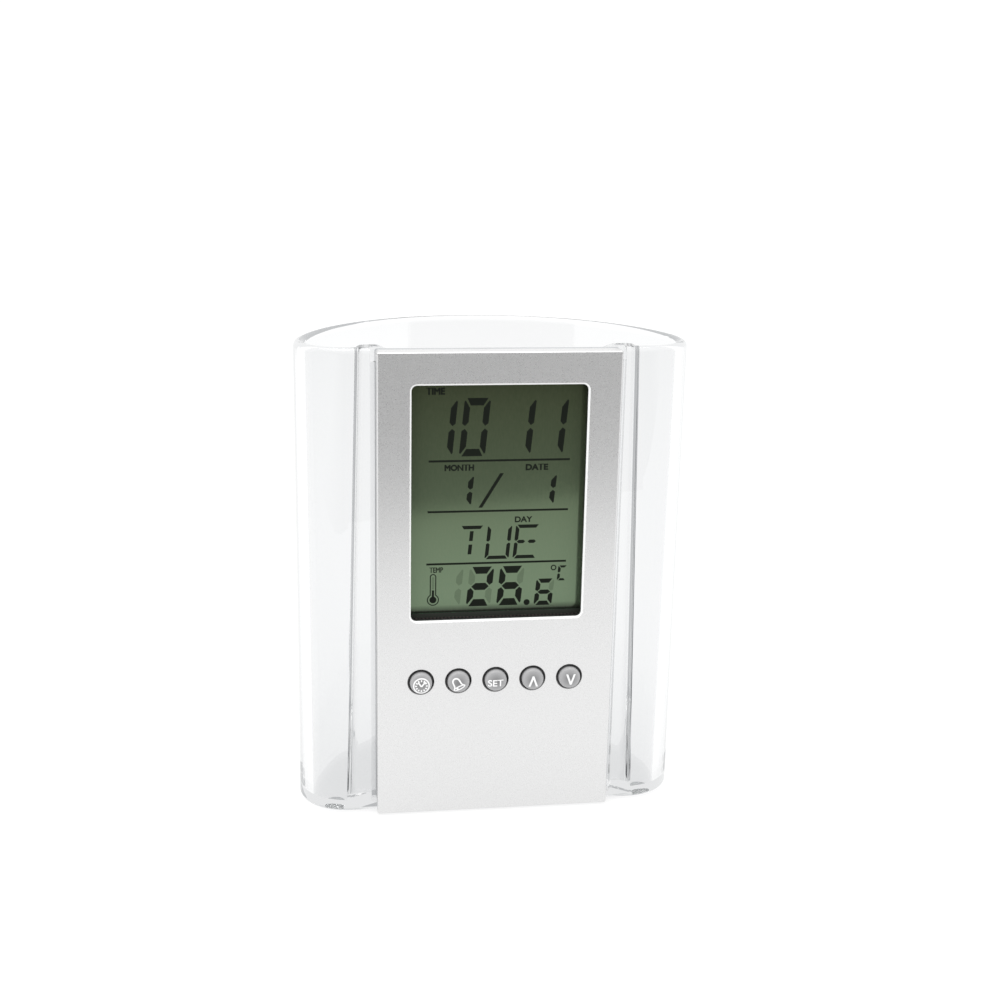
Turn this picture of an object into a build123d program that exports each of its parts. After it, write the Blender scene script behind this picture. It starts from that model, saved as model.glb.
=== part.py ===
"""Clear pen cup with a slide-out clock module, in millimetres.

+Z is up, +X is to the right and +Y points to the back. The origin is on the surface that the cup
stands on, at the middle of the whole object's plan.
"""

from build123d import *
import math
import os

os.makedirs("parts", exist_ok=True)

# Driving dimensions of the clear cup; its back is a half round, flattened a little
cup_side_margin = 21.0
rear_flattening = 7.8
rim_rise = 0.7
cup_wall = 3.1
cup_floor = 2.4
front_corner_radius = 13.7
side_radius = 25.0
rim_radius = 1.5
base_edge_radius = 1.2
core_draft = 0.25
foot_height = 0.5

# Driving dimensions of the clock module, across its face
window_width = 46.8
window_height = 64.6
window_side_margin = 9.1
window_top_margin = 8.8
buttons_to_window = 17.6
board_to_buttons = 7.5
cell_to_board = 15.0
cell_row = 16.5
button_pitch = 10.3
button_hole = 7.0
cell_diameter = 11.6

# Driving dimensions of the clock module, from its face to its back
module_proud = 2.6
cover_wall = 1.6
lens_thickness = 0.8
glass_thickness = 1.0
film_thickness = 0.2
board_thickness = 0.8
back_wall = 1.2
skirt_wall = 1.4
well_floor = 0.6
cell_height = 3.05
cap_floor = 0.8
button_travel = 0.6

# Clearances between pieces, and one overrun for every cut
side_gap = 1.4
face_gap = 0.4
slide_gap = 0.2
fit_gap = 0.1
cell_gap = 0.05
button_gap = 0.35
shank_gap = 0.03
board_back_gap = 0.6
well_front_gap = 0.6
contact_room = 0.5
overrun = 2.0

# The module's layers stack up behind the display, and behind the button cell; the deeper stack sets its back
cover_depth = cover_wall + lens_thickness + 2 * glass_thickness + film_thickness
display_stack = cover_depth + board_thickness + board_back_gap + back_wall
cell_stack = cover_wall + well_front_gap + well_floor + contact_room + cell_height + cell_gap + cap_floor
module_thickness = max(display_stack, cell_stack)

# Places that follow from the driving dimensions
board_base = cell_row + cell_to_board
button_row = board_base + board_to_buttons
window_base = button_row + buttons_to_window
module_width = window_width + 2 * window_side_margin
module_height = window_base + window_height + window_top_margin
cup_width = module_width + 2 * cup_side_margin
cup_height = module_height + rim_rise
rear_reach = cup_width / 2 - rear_flattening
cup_depth = front_corner_radius + rear_reach
front_y = -(module_proud + cup_depth) / 2
cup_front_y = front_y + module_proud
rim_level = foot_height + cup_height
floor_level = foot_height + cup_floor
widest_y = cup_front_y + front_corner_radius
corner_x = cup_width / 2 - front_corner_radius
side_x = cup_width / 2 - side_radius
rear_radius = (side_x**2 + rear_reach**2 - side_radius**2) / (2 * (rear_reach - side_radius))
rear_centre_y = widest_y + rear_reach - rear_radius
blend_angle = math.degrees(math.atan2(widest_y - rear_centre_y, side_x))
body_base = cup_floor
body_height = module_height - body_base
body_middle = body_base + body_height / 2


def depth_plane(depth):
    """Plane facing the front, at a depth behind the module's face. Its origin is the face's lower edge."""
    return Plane(origin=(0, front_y + depth, foot_height), x_dir=(1, 0, 0), z_dir=(0, -1, 0))


def cup_plan():
    """Flat front, two round corners, two side arcs and one rear arc, all tangent."""
    with BuildLine() as outline:
        Line((-corner_x, cup_front_y), (corner_x, cup_front_y))
        CenterArc((corner_x, widest_y), front_corner_radius, -90, 90)
        CenterArc((side_x, widest_y), side_radius, 0, blend_angle)
        CenterArc((0, rear_centre_y), rear_radius, blend_angle, 180 - 2 * blend_angle)
        CenterArc((-side_x, widest_y), side_radius, 180 - blend_angle, blend_angle)
        CenterArc((-corner_x, widest_y), front_corner_radius, 180, 90)
    make_face(outline.edges())


# Clear cup, one moulding: D-shaped shell, the pocket that bulges into it with its back wall a little lower
# than the rim, and the recess in front, with a rib along each side that guides the module
recess_half = module_width / 2 + side_gap
recess_back_y = front_y + module_thickness + face_gap
groove_depth = 1.1
rib_thickness = 1.2
groove_end = 3.0
rib_end_gap = 0.3
rib_reach = side_gap + groove_depth - slide_gap
rib_middle_y = front_y + cover_depth + slide_gap + rib_thickness / 2
rib_top = foot_height + module_height - groove_end - rib_end_gap
pocket_wall = 2.4
pocket_side_wall = 3.8
pocket_corner_radius = 3.0
pocket_flare = 2.9
pocket_half = recess_half + pocket_side_wall
pocket_back_y = recess_back_y + pocket_wall
pocket_front_y = cup_front_y + cup_wall / 2
notch_inset = 1.9
notch_half = recess_half - notch_inset
notch_depth = 1.6
notch_slope = 3.9


def pocket_plan(flare):
    """Outline of the pocket's walls, larger by the flare on its three inner sides."""
    half = pocket_half + flare
    back = pocket_back_y + flare
    with BuildLine() as outline:
        Polyline((-half, pocket_front_y), (half, pocket_front_y), (half, back), (-half, back), close=True)
    make_face(outline.edges())
    fillet(outline.vertices().group_by(Axis.Y)[-1], radius=pocket_corner_radius)


def recess_plan():
    """Plan of the recess, open to the front."""
    with Locations((0, (cup_front_y - overrun + recess_back_y) / 2)):
        Rectangle(2 * recess_half, recess_back_y - cup_front_y + overrun)


with BuildPart() as cup:
    with BuildSketch(Plane.XY.offset(foot_height)):
        cup_plan()
    extrude(amount=cup_height)
    fillet(cup.faces().sort_by(Axis.Z)[0].edges(), radius=base_edge_radius)
    with BuildSketch(Plane.XY.offset(rim_level)):
        cup_plan()
        offset(amount=-cup_wall, mode=Mode.REPLACE)
    extrude(amount=-(cup_height - cup_floor), taper=core_draft, mode=Mode.SUBTRACT)
    with BuildSketch(Plane.XY.offset(floor_level)):
        pocket_plan(pocket_flare)
    with BuildSketch(Plane.XY.offset(rim_level)):
        pocket_plan(0)
    loft(ruled=True)
    fillet(cup.faces().sort_by(Axis.Z)[-1].edges(), radius=rim_radius)
    with BuildSketch(Plane.XY.offset(floor_level)):
        recess_plan()
        with Locations(*[(side * (recess_half - rib_reach / 2), rib_middle_y) for side in (-1, 1)]):
            Rectangle(rib_reach, rib_thickness, mode=Mode.SUBTRACT)
    extrude(amount=cup_height, mode=Mode.SUBTRACT)
    with BuildSketch(Plane.XY.offset(rib_top)):
        recess_plan()
    extrude(amount=cup_height, mode=Mode.SUBTRACT)
    with BuildSketch(depth_plane(module_thickness + face_gap + pocket_wall + overrun)):
        with BuildLine():
            Polyline(
                (-notch_half, cup_height),
                (-notch_half + notch_slope, cup_height - notch_depth),
                (notch_half - notch_slope, cup_height - notch_depth),
                (notch_half, cup_height),
                close=True,
            )
        make_face()
    extrude(amount=pocket_wall + face_gap + overrun, mode=Mode.SUBTRACT)
cup.part.label = "cup"
export_step(cup.part, "parts/cup.step")


# Feet: four small round pads under the cup, inside its corners
foot_radius = 2.4
foot_edge = 0.15
front_foot_inset = 8.0
rear_foot_inset = 12.0
side_foot_inset = 9.9
rear_foot_half = 24.0
front_foot_y = front_y + front_foot_inset
rear_foot_y = cup_front_y + cup_depth - rear_foot_inset
front_foot_half = cup_width / 2 - side_foot_inset
foot_places = [
    (front_foot_half, front_foot_y),
    (-front_foot_half, front_foot_y),
    (rear_foot_half, rear_foot_y),
    (-rear_foot_half, rear_foot_y),
]

with BuildPart() as feet:
    with BuildSketch(Plane.XY):
        with Locations(*foot_places):
            Circle(foot_radius)
    extrude(amount=foot_height)
    chamfer(feet.faces().group_by(Axis.Z)[0].edges(), length=foot_edge)
feet.part.label = "feet"
export_step(feet.part, "parts/feet.step")


# Shared places of the module: depths of its layers, the board, and the screw rows
lens_back = cover_wall + lens_thickness
front_glass_back = lens_back + glass_thickness
rear_glass_back = front_glass_back + glass_thickness
board_front = cover_depth
board_back = board_front + board_thickness
inner_back = module_thickness - back_wall
inner_half = module_width / 2 - skirt_wall
window_middle = window_base + window_height / 2
window_top = window_base + window_height

board_side_gap = 1.5
board_above_window = 2.0
board_half = inner_half - board_side_gap
keypad_half_height = 4.0
board_top = window_top + board_above_window
board_screw_inset = 1.6
lower_board_screw_rise = 8.0
upper_board_screw_drop = 2.2
board_screw_x = board_half - board_screw_inset
lower_board_screw_row = button_row + lower_board_screw_rise
upper_board_screw_row = window_top - upper_board_screw_drop
board_screw_rows = [lower_board_screw_row, upper_board_screw_row]
board_screw_places = [(side * board_screw_x, row) for side in (-1, 1) for row in board_screw_rows]
board_shank_radius = 0.75
board_boss_radius = 1.6

screw_inset = 3.9
lower_screw_row = 7.2
middle_screw_rise = 11.0
upper_screw_drop = 3.7
middle_screw_row = cell_row + middle_screw_rise
screw_x = module_width / 2 - screw_inset
screw_rows = [lower_screw_row, middle_screw_row, module_height - upper_screw_drop]
screw_places = [(side * screw_x, row) for side in (-1, 1) for row in screw_rows]
shank_radius = 1.0
boss_radius = 2.2

button_places = [(step * button_pitch, button_row) for step in (-2, -1, 0, 1, 2)]

# Front cover, one silver painted moulding: flat face, side skirts, window, button holes and screw bosses
lip_thickness = module_proud - face_gap
face_edge_radius = 0.5
corner_radius = 0.6
window_corner_radius = 1.5
window_bevel = 0.5
hole_bevel = 0.2
key_width = 1.6
key_reach = 4.9
key_rib = 0.8
key_rib_depth = 1.5

with BuildPart() as front_cover:
    with BuildSketch(depth_plane(lip_thickness)):
        with Locations((0, module_height / 2)):
            Rectangle(module_width, module_height)
    extrude(amount=lip_thickness)
    with BuildSketch(depth_plane(cover_depth)):
        with Locations((0, body_middle)):
            Rectangle(module_width, body_height)
    extrude(amount=cover_depth - lip_thickness)
    fillet(front_cover.edges().filter_by(Axis.Y), radius=corner_radius)
    fillet(front_cover.faces().sort_by(Axis.Y)[0].edges(), radius=face_edge_radius)
    with BuildSketch(depth_plane(cover_depth)):
        with Locations((0, body_middle)):
            Rectangle(2 * inner_half, body_height - 2 * skirt_wall)
    extrude(amount=cover_depth - cover_wall, mode=Mode.SUBTRACT)
    with BuildSketch(depth_plane(cover_wall)):
        with Locations((0, window_middle)):
            RectangleRounded(window_width, window_height, window_corner_radius)
    extrude(amount=cover_wall, mode=Mode.SUBTRACT)
    with BuildSketch(depth_plane(cover_wall)):
        with Locations(*button_places):
            Circle(button_hole / 2)
    extrude(amount=cover_wall, mode=Mode.SUBTRACT)
    face_rings = front_cover.faces().sort_by(Axis.Y)[0].inner_wires()
    window_ring = face_rings.sort_by(SortBy.LENGTH)[-1]
    hole_rings = face_rings.sort_by(SortBy.LENGTH)[:-1]
    chamfer(window_ring.edges(), length=window_bevel)
    chamfer(hole_rings.edges(), length=hole_bevel)
    with BuildSketch(depth_plane(cover_depth)):
        with Locations(*screw_places):
            Circle(boss_radius)
        with Locations(*board_screw_places):
            Circle(board_boss_radius)
        with Locations(*screw_places):
            Circle(shank_radius + shank_gap, mode=Mode.SUBTRACT)
        with Locations(*board_screw_places):
            Circle(board_shank_radius + shank_gap, mode=Mode.SUBTRACT)
    extrude(amount=cover_depth - cover_wall)
    with BuildSketch(depth_plane(cover_wall + key_rib_depth)):
        for place_x, place_row in button_places:
            for side in (-1, 1):
                rib_x = place_x + side * (key_width / 2 + slide_gap + key_rib / 2)
                with Locations((rib_x, place_row - key_reach)):
                    Rectangle(key_rib, key_width)
    extrude(amount=key_rib_depth)
front_cover.part.label = "front_cover"
export_step(front_cover.part, "parts/front_cover.step")


# Rear housing, one grey moulding: back wall, skirts with side grooves for the cup's ribs, battery well,
# screw bosses, buzzer ring with its sound holes, and tabs that nest inside the front cover
rear_edge_radius = 0.6
rear_skirt_wall = 1.2
groove_width = rib_thickness + 2 * slide_gap
rear_inner_half = module_width / 2 - groove_depth - rear_skirt_wall
tab_thickness = 0.8
tab_depth = 0.8
top_tab_width = 24.0
side_tab_rows = [17.0, 65.0, 101.0]
side_tab_width = 9.0
rear_boss_radius = 2.6
rear_hole_radius = 1.2
head_radius = 1.9
head_height = 1.1
head_recess = 0.3
head_seat = module_thickness - head_recess - head_height

cell_x = -14.0
cap_thickness = 1.0
cap_rim = 1.2
spigot_wall = 1.4
spigot_length = 1.5
cell_side_gap = 0.3
lug_length = 1.1
lug_gap = 0.6
lug_width = 3.4
cap_turn = 45
ledge_thickness = 0.8
well_wall = 1.3
cell_rib = 1.0
cell_rib_angles = [135, 225, 315]
contact_thickness = 0.25
contact_width = 3.0
contact_slot_depth = 0.8
contact_slot_length = 5.2
side_slot_width = 1.05
side_slot_length = 7.8
spigot_bore_radius = cell_diameter / 2 + cell_side_gap
spigot_radius = spigot_bore_radius + spigot_wall
cap_radius = spigot_radius + cap_rim
lug_reach = spigot_radius + lug_length
well_radius = lug_reach + lug_gap
cell_back = module_thickness - cap_floor - cell_gap
cell_front = cell_back - cell_height
well_back = cell_front - contact_room
well_front = well_back - well_floor
ledge_back = module_thickness - cap_thickness
ledge_front = ledge_back - ledge_thickness
spigot_front = ledge_back - spigot_length
cell_rib_back = spigot_front - slide_gap
slot_width = contact_width + 2 * slide_gap
slot_back = well_back + contact_slot_depth

buzzer_inset = 16.6
buzzer_x = inner_half - buzzer_inset
buzzer_row = cell_row
buzzer_radius = 10.0
buzzer_seat_height = 0.4
buzzer_ring_height = 0.7
buzzer_ring_wall = 1.0
buzzer_ledge = 0.7
buzzer_plate_thickness = 0.2
buzzer_seat = inner_back - buzzer_seat_height
sound_hole_radius = 0.7
sound_hole_circle = 4.0
sound_hole_count = 6

vent_inset = 11.1
vent_x = inner_half - vent_inset
vent_rise = 3.0
vent_row = board_base + vent_rise
vent_pitch = 1.8
vent_width = 0.8
vent_length = 6.0
vent_count = 5


def ledge_opening():
    """Hole through the ledge under the battery cap, with the two notches that its lugs come out by."""
    with Locations((cell_x, cell_row)):
        Circle(spigot_radius + fit_gap)
        with Locations(Rotation(0, 0, -cap_turn)):
            Rectangle(2 * (lug_reach + slide_gap), lug_width + 2 * slide_gap)


with BuildPart() as rear_housing:
    with BuildSketch(depth_plane(module_thickness)):
        with Locations((0, body_middle)):
            Rectangle(module_width, body_height)
    extrude(amount=module_thickness - cover_depth)
    fillet(rear_housing.edges().filter_by(Axis.Y), radius=corner_radius)
    fillet(rear_housing.faces().sort_by(Axis.Y)[-1].edges(), radius=rear_edge_radius)
    with BuildSketch(depth_plane(inner_back)):
        with Locations((0, body_middle)):
            Rectangle(2 * rear_inner_half, body_height - 2 * skirt_wall)
    extrude(amount=inner_back - cover_depth, mode=Mode.SUBTRACT)
    # Side grooves, open below and closed above, where they stop the module on the ribs' ends
    with BuildSketch(depth_plane(cover_depth + groove_width)):
        groove_height = module_height - groove_end + overrun
        groove_middle = module_height - groove_end - groove_height / 2
        groove_centre_x = module_width / 2 - groove_depth + (groove_depth + overrun) / 2
        with Locations(*[(side * groove_centre_x, groove_middle) for side in (-1, 1)]):
            Rectangle(groove_depth + overrun, groove_height)
    extrude(amount=groove_width, mode=Mode.SUBTRACT)
    # Tabs that nest inside the front cover's skirts
    with BuildSketch(depth_plane(inner_back)):
        tab_x = inner_half - fit_gap - tab_thickness / 2
        top_tab_row = module_height - skirt_wall - fit_gap - tab_thickness / 2
        base_tab_row = body_base + skirt_wall + fit_gap + tab_thickness / 2
        with Locations((0, top_tab_row), (0, base_tab_row)):
            Rectangle(top_tab_width, tab_thickness)
        with Locations(*[(side * tab_x, row) for side in (-1, 1) for row in side_tab_rows]):
            Rectangle(tab_thickness, side_tab_width)
    extrude(amount=inner_back - cover_depth + tab_depth)
    # Screw bosses
    with BuildSketch(depth_plane(inner_back)):
        with Locations(*screw_places):
            Circle(rear_boss_radius)
    extrude(amount=inner_back - cover_depth)
    with BuildSketch(depth_plane(module_thickness + overrun)):
        with Locations(*screw_places):
            Circle(rear_hole_radius)
    extrude(amount=module_thickness, mode=Mode.SUBTRACT)
    with BuildSketch(depth_plane(module_thickness + overrun)):
        with Locations(*screw_places):
            Circle(head_radius + slide_gap)
    extrude(amount=module_thickness + overrun - head_seat, mode=Mode.SUBTRACT)
    # Battery well: tube and floor, then the seat, the ledge and the notches for the cap
    with BuildSketch(depth_plane(inner_back)):
        with Locations((cell_x, cell_row)):
            Circle(well_radius + well_wall)
    extrude(amount=inner_back - well_front)
    with BuildSketch(depth_plane(ledge_front)):
        with Locations((cell_x, cell_row)):
            Circle(well_radius)
    extrude(amount=ledge_front - well_back, mode=Mode.SUBTRACT)
    with BuildSketch(depth_plane(module_thickness + overrun)):
        with Locations((cell_x, cell_row)):
            Circle(cap_radius + fit_gap)
    extrude(amount=module_thickness + overrun - ledge_back, mode=Mode.SUBTRACT)
    with BuildSketch(depth_plane(ledge_back)):
        ledge_opening()
    extrude(amount=ledge_back - ledge_front, mode=Mode.SUBTRACT)
    with BuildSketch(depth_plane(cell_rib_back)):
        rib_start = cell_diameter / 2 + slide_gap
        rib_length = well_radius + well_wall / 2 - rib_start
        with Locations((cell_x, cell_row)):
            for angle in cell_rib_angles:
                with PolarLocations(rib_start + rib_length / 2, 1, start_angle=angle):
                    Rectangle(rib_length, cell_rib)
    extrude(amount=cell_rib_back - well_back)
    # Slots in the well's wall for the two contacts
    with BuildSketch(depth_plane(slot_back)):
        with Locations((cell_x, cell_row + well_radius)):
            Rectangle(slot_width, contact_slot_length)
    extrude(amount=contact_slot_depth, mode=Mode.SUBTRACT)
    with BuildSketch(depth_plane(spigot_front)):
        with Locations((cell_x + cell_diameter / 2 + slide_gap, cell_row + well_radius)):
            Rectangle(side_slot_width, side_slot_length)
    extrude(amount=spigot_front - well_back, mode=Mode.SUBTRACT)
    # Buzzer ring with a ledge, sound holes and vent slots
    with BuildSketch(depth_plane(inner_back)):
        with Locations((buzzer_x, buzzer_row)):
            Circle(buzzer_radius + fit_gap + buzzer_ring_wall)
            Circle(buzzer_radius + fit_gap, mode=Mode.SUBTRACT)
    extrude(amount=buzzer_ring_height)
    with BuildSketch(depth_plane(inner_back)):
        with Locations((buzzer_x, buzzer_row)):
            Circle(buzzer_radius + fit_gap + buzzer_ring_wall / 2)
            Circle(buzzer_radius - buzzer_ledge, mode=Mode.SUBTRACT)
    extrude(amount=buzzer_seat_height)
    with BuildSketch(depth_plane(module_thickness + overrun)):
        with Locations((buzzer_x, buzzer_row)):
            Circle(sound_hole_radius)
            with PolarLocations(sound_hole_circle, sound_hole_count):
                Circle(sound_hole_radius)
        with Locations((vent_x, vent_row)):
            with GridLocations(vent_pitch, 0, vent_count, 1):
                SlotOverall(vent_length, vent_width, rotation=90)
    extrude(amount=overrun + 2 * back_wall, mode=Mode.SUBTRACT)
rear_housing.part.label = "rear_housing"
export_step(rear_housing.part, "parts/rear_housing.step")


# Window lens, a clear plate glued behind the window
lens_overlap = 2.0
lens_corner_radius = 1.0
lens_width = window_width + 2 * lens_overlap
lens_height = window_height + 2 * lens_overlap

with BuildPart() as window_lens:
    with BuildSketch(depth_plane(lens_back)):
        with Locations((0, window_middle)):
            RectangleRounded(lens_width, lens_height, lens_corner_radius)
    extrude(amount=lens_thickness)
window_lens.part.label = "window_lens"
export_step(window_lens.part, "parts/window_lens.step")


# Liquid crystal panel: front glass with a contact ledge below, rear glass, and a reflector film behind
glass_side_overlap = 1.6
glass_top_overlap = 0.8
glass_base_overlap = 2.4
ledge_height = 2.8
film_margin = 0.4
glass_half = window_width / 2 + glass_side_overlap
glass_base = window_base - glass_base_overlap
glass_top = window_top + glass_top_overlap
rear_glass_base = glass_base + ledge_height

with BuildPart() as lcd_front_glass:
    with BuildSketch(depth_plane(front_glass_back)):
        with Locations((0, (glass_base + glass_top) / 2)):
            Rectangle(2 * glass_half, glass_top - glass_base)
    extrude(amount=glass_thickness)
lcd_front_glass.part.label = "lcd_front_glass"
export_step(lcd_front_glass.part, "parts/lcd_front_glass.step")

with BuildPart() as lcd_rear_glass:
    with BuildSketch(depth_plane(rear_glass_back)):
        with Locations((0, (rear_glass_base + glass_top) / 2)):
            Rectangle(2 * glass_half, glass_top - rear_glass_base)
    extrude(amount=glass_thickness)
lcd_rear_glass.part.label = "lcd_rear_glass"
export_step(lcd_rear_glass.part, "parts/lcd_rear_glass.step")

with BuildPart() as lcd_reflector:
    with BuildSketch(depth_plane(board_front)):
        with Locations((0, (rear_glass_base + glass_top) / 2)):
            Rectangle(2 * (glass_half - film_margin), glass_top - rear_glass_base - 2 * film_margin)
    extrude(amount=film_thickness)
lcd_reflector.part.label = "lcd_reflector"
export_step(lcd_reflector.part, "parts/lcd_reflector.step")


# Frame that holds the glass on the board, and the rubber strip that carries the contacts to the ledge
frame_wall = 0.9
frame_half = glass_half + slide_gap + frame_wall
frame_height = glass_top - glass_base + 2 * (slide_gap + frame_wall)
strip_height = 2.0
strip_half = glass_half - frame_wall

with BuildPart() as lcd_frame:
    with BuildSketch(depth_plane(board_front)):
        with Locations((0, (glass_base + glass_top) / 2)):
            RectangleRounded(2 * frame_half, frame_height, frame_wall)
            Rectangle(2 * (glass_half + slide_gap), frame_height - 2 * frame_wall, mode=Mode.SUBTRACT)
    extrude(amount=board_front - lens_back)
lcd_frame.part.label = "lcd_frame"
export_step(lcd_frame.part, "parts/lcd_frame.step")

with BuildPart() as zebra_strip:
    with BuildSketch(depth_plane(board_front)):
        with Locations((0, glass_base + slide_gap + strip_height / 2)):
            Rectangle(2 * strip_half, strip_height)
    extrude(amount=board_front - front_glass_back)
zebra_strip.part.label = "zebra_strip"
export_step(zebra_strip.part, "parts/zebra_strip.step")


# Circuit board with its screws, chip drop, crystal, capacitors and temperature sensor
board_corner_radius = 1.0
board_head_radius = 1.5
board_head_height = 0.4
board_thread_end = lens_back

with BuildPart() as circuit_board:
    with BuildSketch(depth_plane(board_back)):
        with Locations((0, (board_base + board_top) / 2)):
            RectangleRounded(2 * board_half, board_top - board_base, board_corner_radius)
        with Locations(*board_screw_places):
            Circle(board_shank_radius + fit_gap, mode=Mode.SUBTRACT)
    extrude(amount=board_thickness)
circuit_board.part.label = "circuit_board"
export_step(circuit_board.part, "parts/circuit_board.step")

with BuildPart() as board_screws:
    with BuildSketch(depth_plane(board_back)):
        with Locations(*board_screw_places):
            Circle(board_shank_radius)
    extrude(amount=board_back - board_thread_end)
    with BuildSketch(depth_plane(board_back + board_head_height)):
        with Locations(*board_screw_places):
            Circle(board_head_radius)
    extrude(amount=board_head_height)
board_screws.part.label = "board_screws"
export_step(board_screws.part, "parts/board_screws.step")

frame_base = glass_base - slide_gap - frame_wall
component_row = (button_row + keypad_half_height + frame_base) / 2
chip_x = 9.0
chip_radius = 3.0
chip_height = 1.1
chip_edge_radius = 0.9

with BuildPart() as chip_blob:
    with BuildSketch(depth_plane(board_front)):
        with Locations((chip_x, component_row)):
            Circle(chip_radius)
    extrude(amount=chip_height)
    fillet(chip_blob.faces().sort_by(Axis.Y)[0].edges(), radius=chip_edge_radius)
chip_blob.part.label = "chip_blob"
export_step(chip_blob.part, "parts/chip_blob.step")

crystal_x = -13.0
crystal_radius = 1.0
crystal_length = 6.0
crystal_edge = 0.25
crystal_lead_radius = 0.15
crystal_lead_length = 1.6
crystal_lead_pitch = 0.8
crystal_lead_x = crystal_x + crystal_length - crystal_edge
crystal_lead_depth = board_front - crystal_lead_radius


def across_plane(x, row, depth):
    """Plane facing +X, at a place on the module's face and a depth behind it."""
    return Plane(origin=(x, front_y + depth, foot_height + row), x_dir=(0, 1, 0), z_dir=(1, 0, 0))


with BuildPart() as crystal:
    with BuildSketch(across_plane(crystal_x, component_row, board_front - crystal_radius)):
        Circle(crystal_radius)
    extrude(amount=crystal_length)
    chamfer(crystal.edges().filter_by(GeomType.CIRCLE), length=crystal_edge)
    with BuildSketch(across_plane(crystal_lead_x, component_row, crystal_lead_depth)):
        with GridLocations(0, crystal_lead_pitch, 1, 2):
            Circle(crystal_lead_radius)
    extrude(amount=crystal_lead_length)
crystal.part.label = "crystal"
export_step(crystal.part, "parts/crystal.step")

capacitor_x = 17.5
capacitor_width = 1.0
capacitor_length = 2.0
capacitor_height = 0.9
capacitor_pitch = 2.4
capacitor_count = 3

with BuildPart() as board_capacitors:
    with BuildSketch(depth_plane(board_front)):
        with Locations((capacitor_x, component_row)):
            with GridLocations(capacitor_pitch, 0, capacitor_count, 1):
                Rectangle(capacitor_width, capacitor_length)
    extrude(amount=capacitor_height)
board_capacitors.part.label = "board_capacitors"
export_step(board_capacitors.part, "parts/board_capacitors.step")

sensor_inset = 9.6
sensor_x = board_half - sensor_inset
sensor_radius = 1.1
sensor_length = 2.4
sensor_edge = 0.5
sensor_drop = 2.6
sensor_lead_radius = 0.2
sensor_lead_pitch = 0.9
sensor_lead_overlap = 1.8
sensor_depth = board_front - sensor_lead_radius
sensor_row = board_base - sensor_drop

with BuildPart() as thermistor:
    with BuildSketch(Plane.XY.offset(foot_height + sensor_row - sensor_length / 2)):
        with Locations((sensor_x, front_y + sensor_depth)):
            Circle(sensor_radius)
    extrude(amount=sensor_length)
    chamfer(thermistor.edges().filter_by(GeomType.CIRCLE), length=sensor_edge)
    with BuildSketch(Plane.XY.offset(foot_height + sensor_row)):
        with Locations((sensor_x, front_y + sensor_depth)):
            with GridLocations(sensor_lead_pitch, 0, 2, 1):
                Circle(sensor_lead_radius)
    extrude(amount=sensor_drop + sensor_lead_overlap)
thermistor.part.label = "thermistor"
export_step(thermistor.part, "parts/thermistor.step")


# Rubber keypad with one dome under each button, and the five round buttons, which hang a little low
# in their holes
keypad_base = 0.8
keypad_overhang = 4.4
keypad_width = (len(button_places) - 1) * button_pitch + 2 * keypad_overhang
keypad_corner_radius = 1.0
dome_gap = 0.1
dome_radius = 3.0
dome_taper = 25
face_recess = 0.7
button_sag = 0.15
flange_radius = 4.1
flange_thickness = 0.6
stem_radius = 2.0
stem_height = 0.3
button_edge_radius = 0.45
button_radius = button_hole / 2 - button_gap
stem_back = cover_wall + flange_thickness + stem_height
dome_front = stem_back + button_travel + dome_gap

with BuildPart() as keypad_sheet:
    with BuildSketch(depth_plane(board_front)):
        with Locations((0, button_row)):
            RectangleRounded(keypad_width, 2 * keypad_half_height, keypad_corner_radius)
    extrude(amount=keypad_base)
    with BuildSketch(depth_plane(board_front - keypad_base)):
        with Locations(*button_places):
            Circle(dome_radius)
    extrude(amount=board_front - keypad_base - dome_front, taper=dome_taper)
keypad_sheet.part.label = "keypad_sheet"
export_step(keypad_sheet.part, "parts/keypad_sheet.step")

button_names = ["mode_button", "alarm_button", "set_button", "up_button", "down_button"]
for button_name, button_place in zip(button_names, button_places):
    with BuildPart() as button:
        with BuildSketch(depth_plane(cover_wall)):
            with Locations(button_place):
                with Locations((0, -button_sag)):
                    Circle(button_radius)
        extrude(amount=cover_wall - face_recess)
        fillet(button.faces().sort_by(Axis.Y)[0].edges(), radius=button_edge_radius)
        with BuildSketch(depth_plane(cover_wall + flange_thickness)):
            with Locations(button_place):
                Circle(flange_radius)
                with Locations((0, -key_reach / 2)):
                    Rectangle(key_width, key_reach)
        extrude(amount=flange_thickness)
        with BuildSketch(depth_plane(stem_back)):
            with Locations(button_place):
                Circle(stem_radius)
        extrude(amount=stem_height)
    button.part.label = button_name
    export_step(button.part, f"parts/{button_name}.step")


# Coin cell, a can with its narrower negative cap in front
cell_cap_radius = 4.8
cell_cap_height = 0.4
cell_edge = 0.3

with BuildPart() as button_cell:
    with BuildSketch(depth_plane(cell_back)):
        with Locations((cell_x, cell_row)):
            Circle(cell_diameter / 2)
    extrude(amount=cell_height - cell_cap_height)
    chamfer(button_cell.edges().filter_by(GeomType.CIRCLE), length=cell_edge)
    with BuildSketch(depth_plane(cell_front + cell_cap_height)):
        with Locations((cell_x, cell_row)):
            Circle(cell_cap_radius)
    extrude(amount=cell_cap_height)
button_cell.part.label = "button_cell"
export_step(button_cell.part, "parts/button_cell.step")


# Battery contacts, bent from thin plated strip; both end on the front of the board
contact_depth = cell_front - contact_thickness / 2 - shank_gap
contact_low_depth = well_back + contact_thickness / 2 + shank_gap
contact_end_depth = board_front - contact_thickness / 2
contact_bow = 3.5
contact_bend_drop = 1.5
contact_bend_length = 0.5
contact_overlap = 2.4
contact_bend_row = board_base - contact_bend_drop

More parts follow.
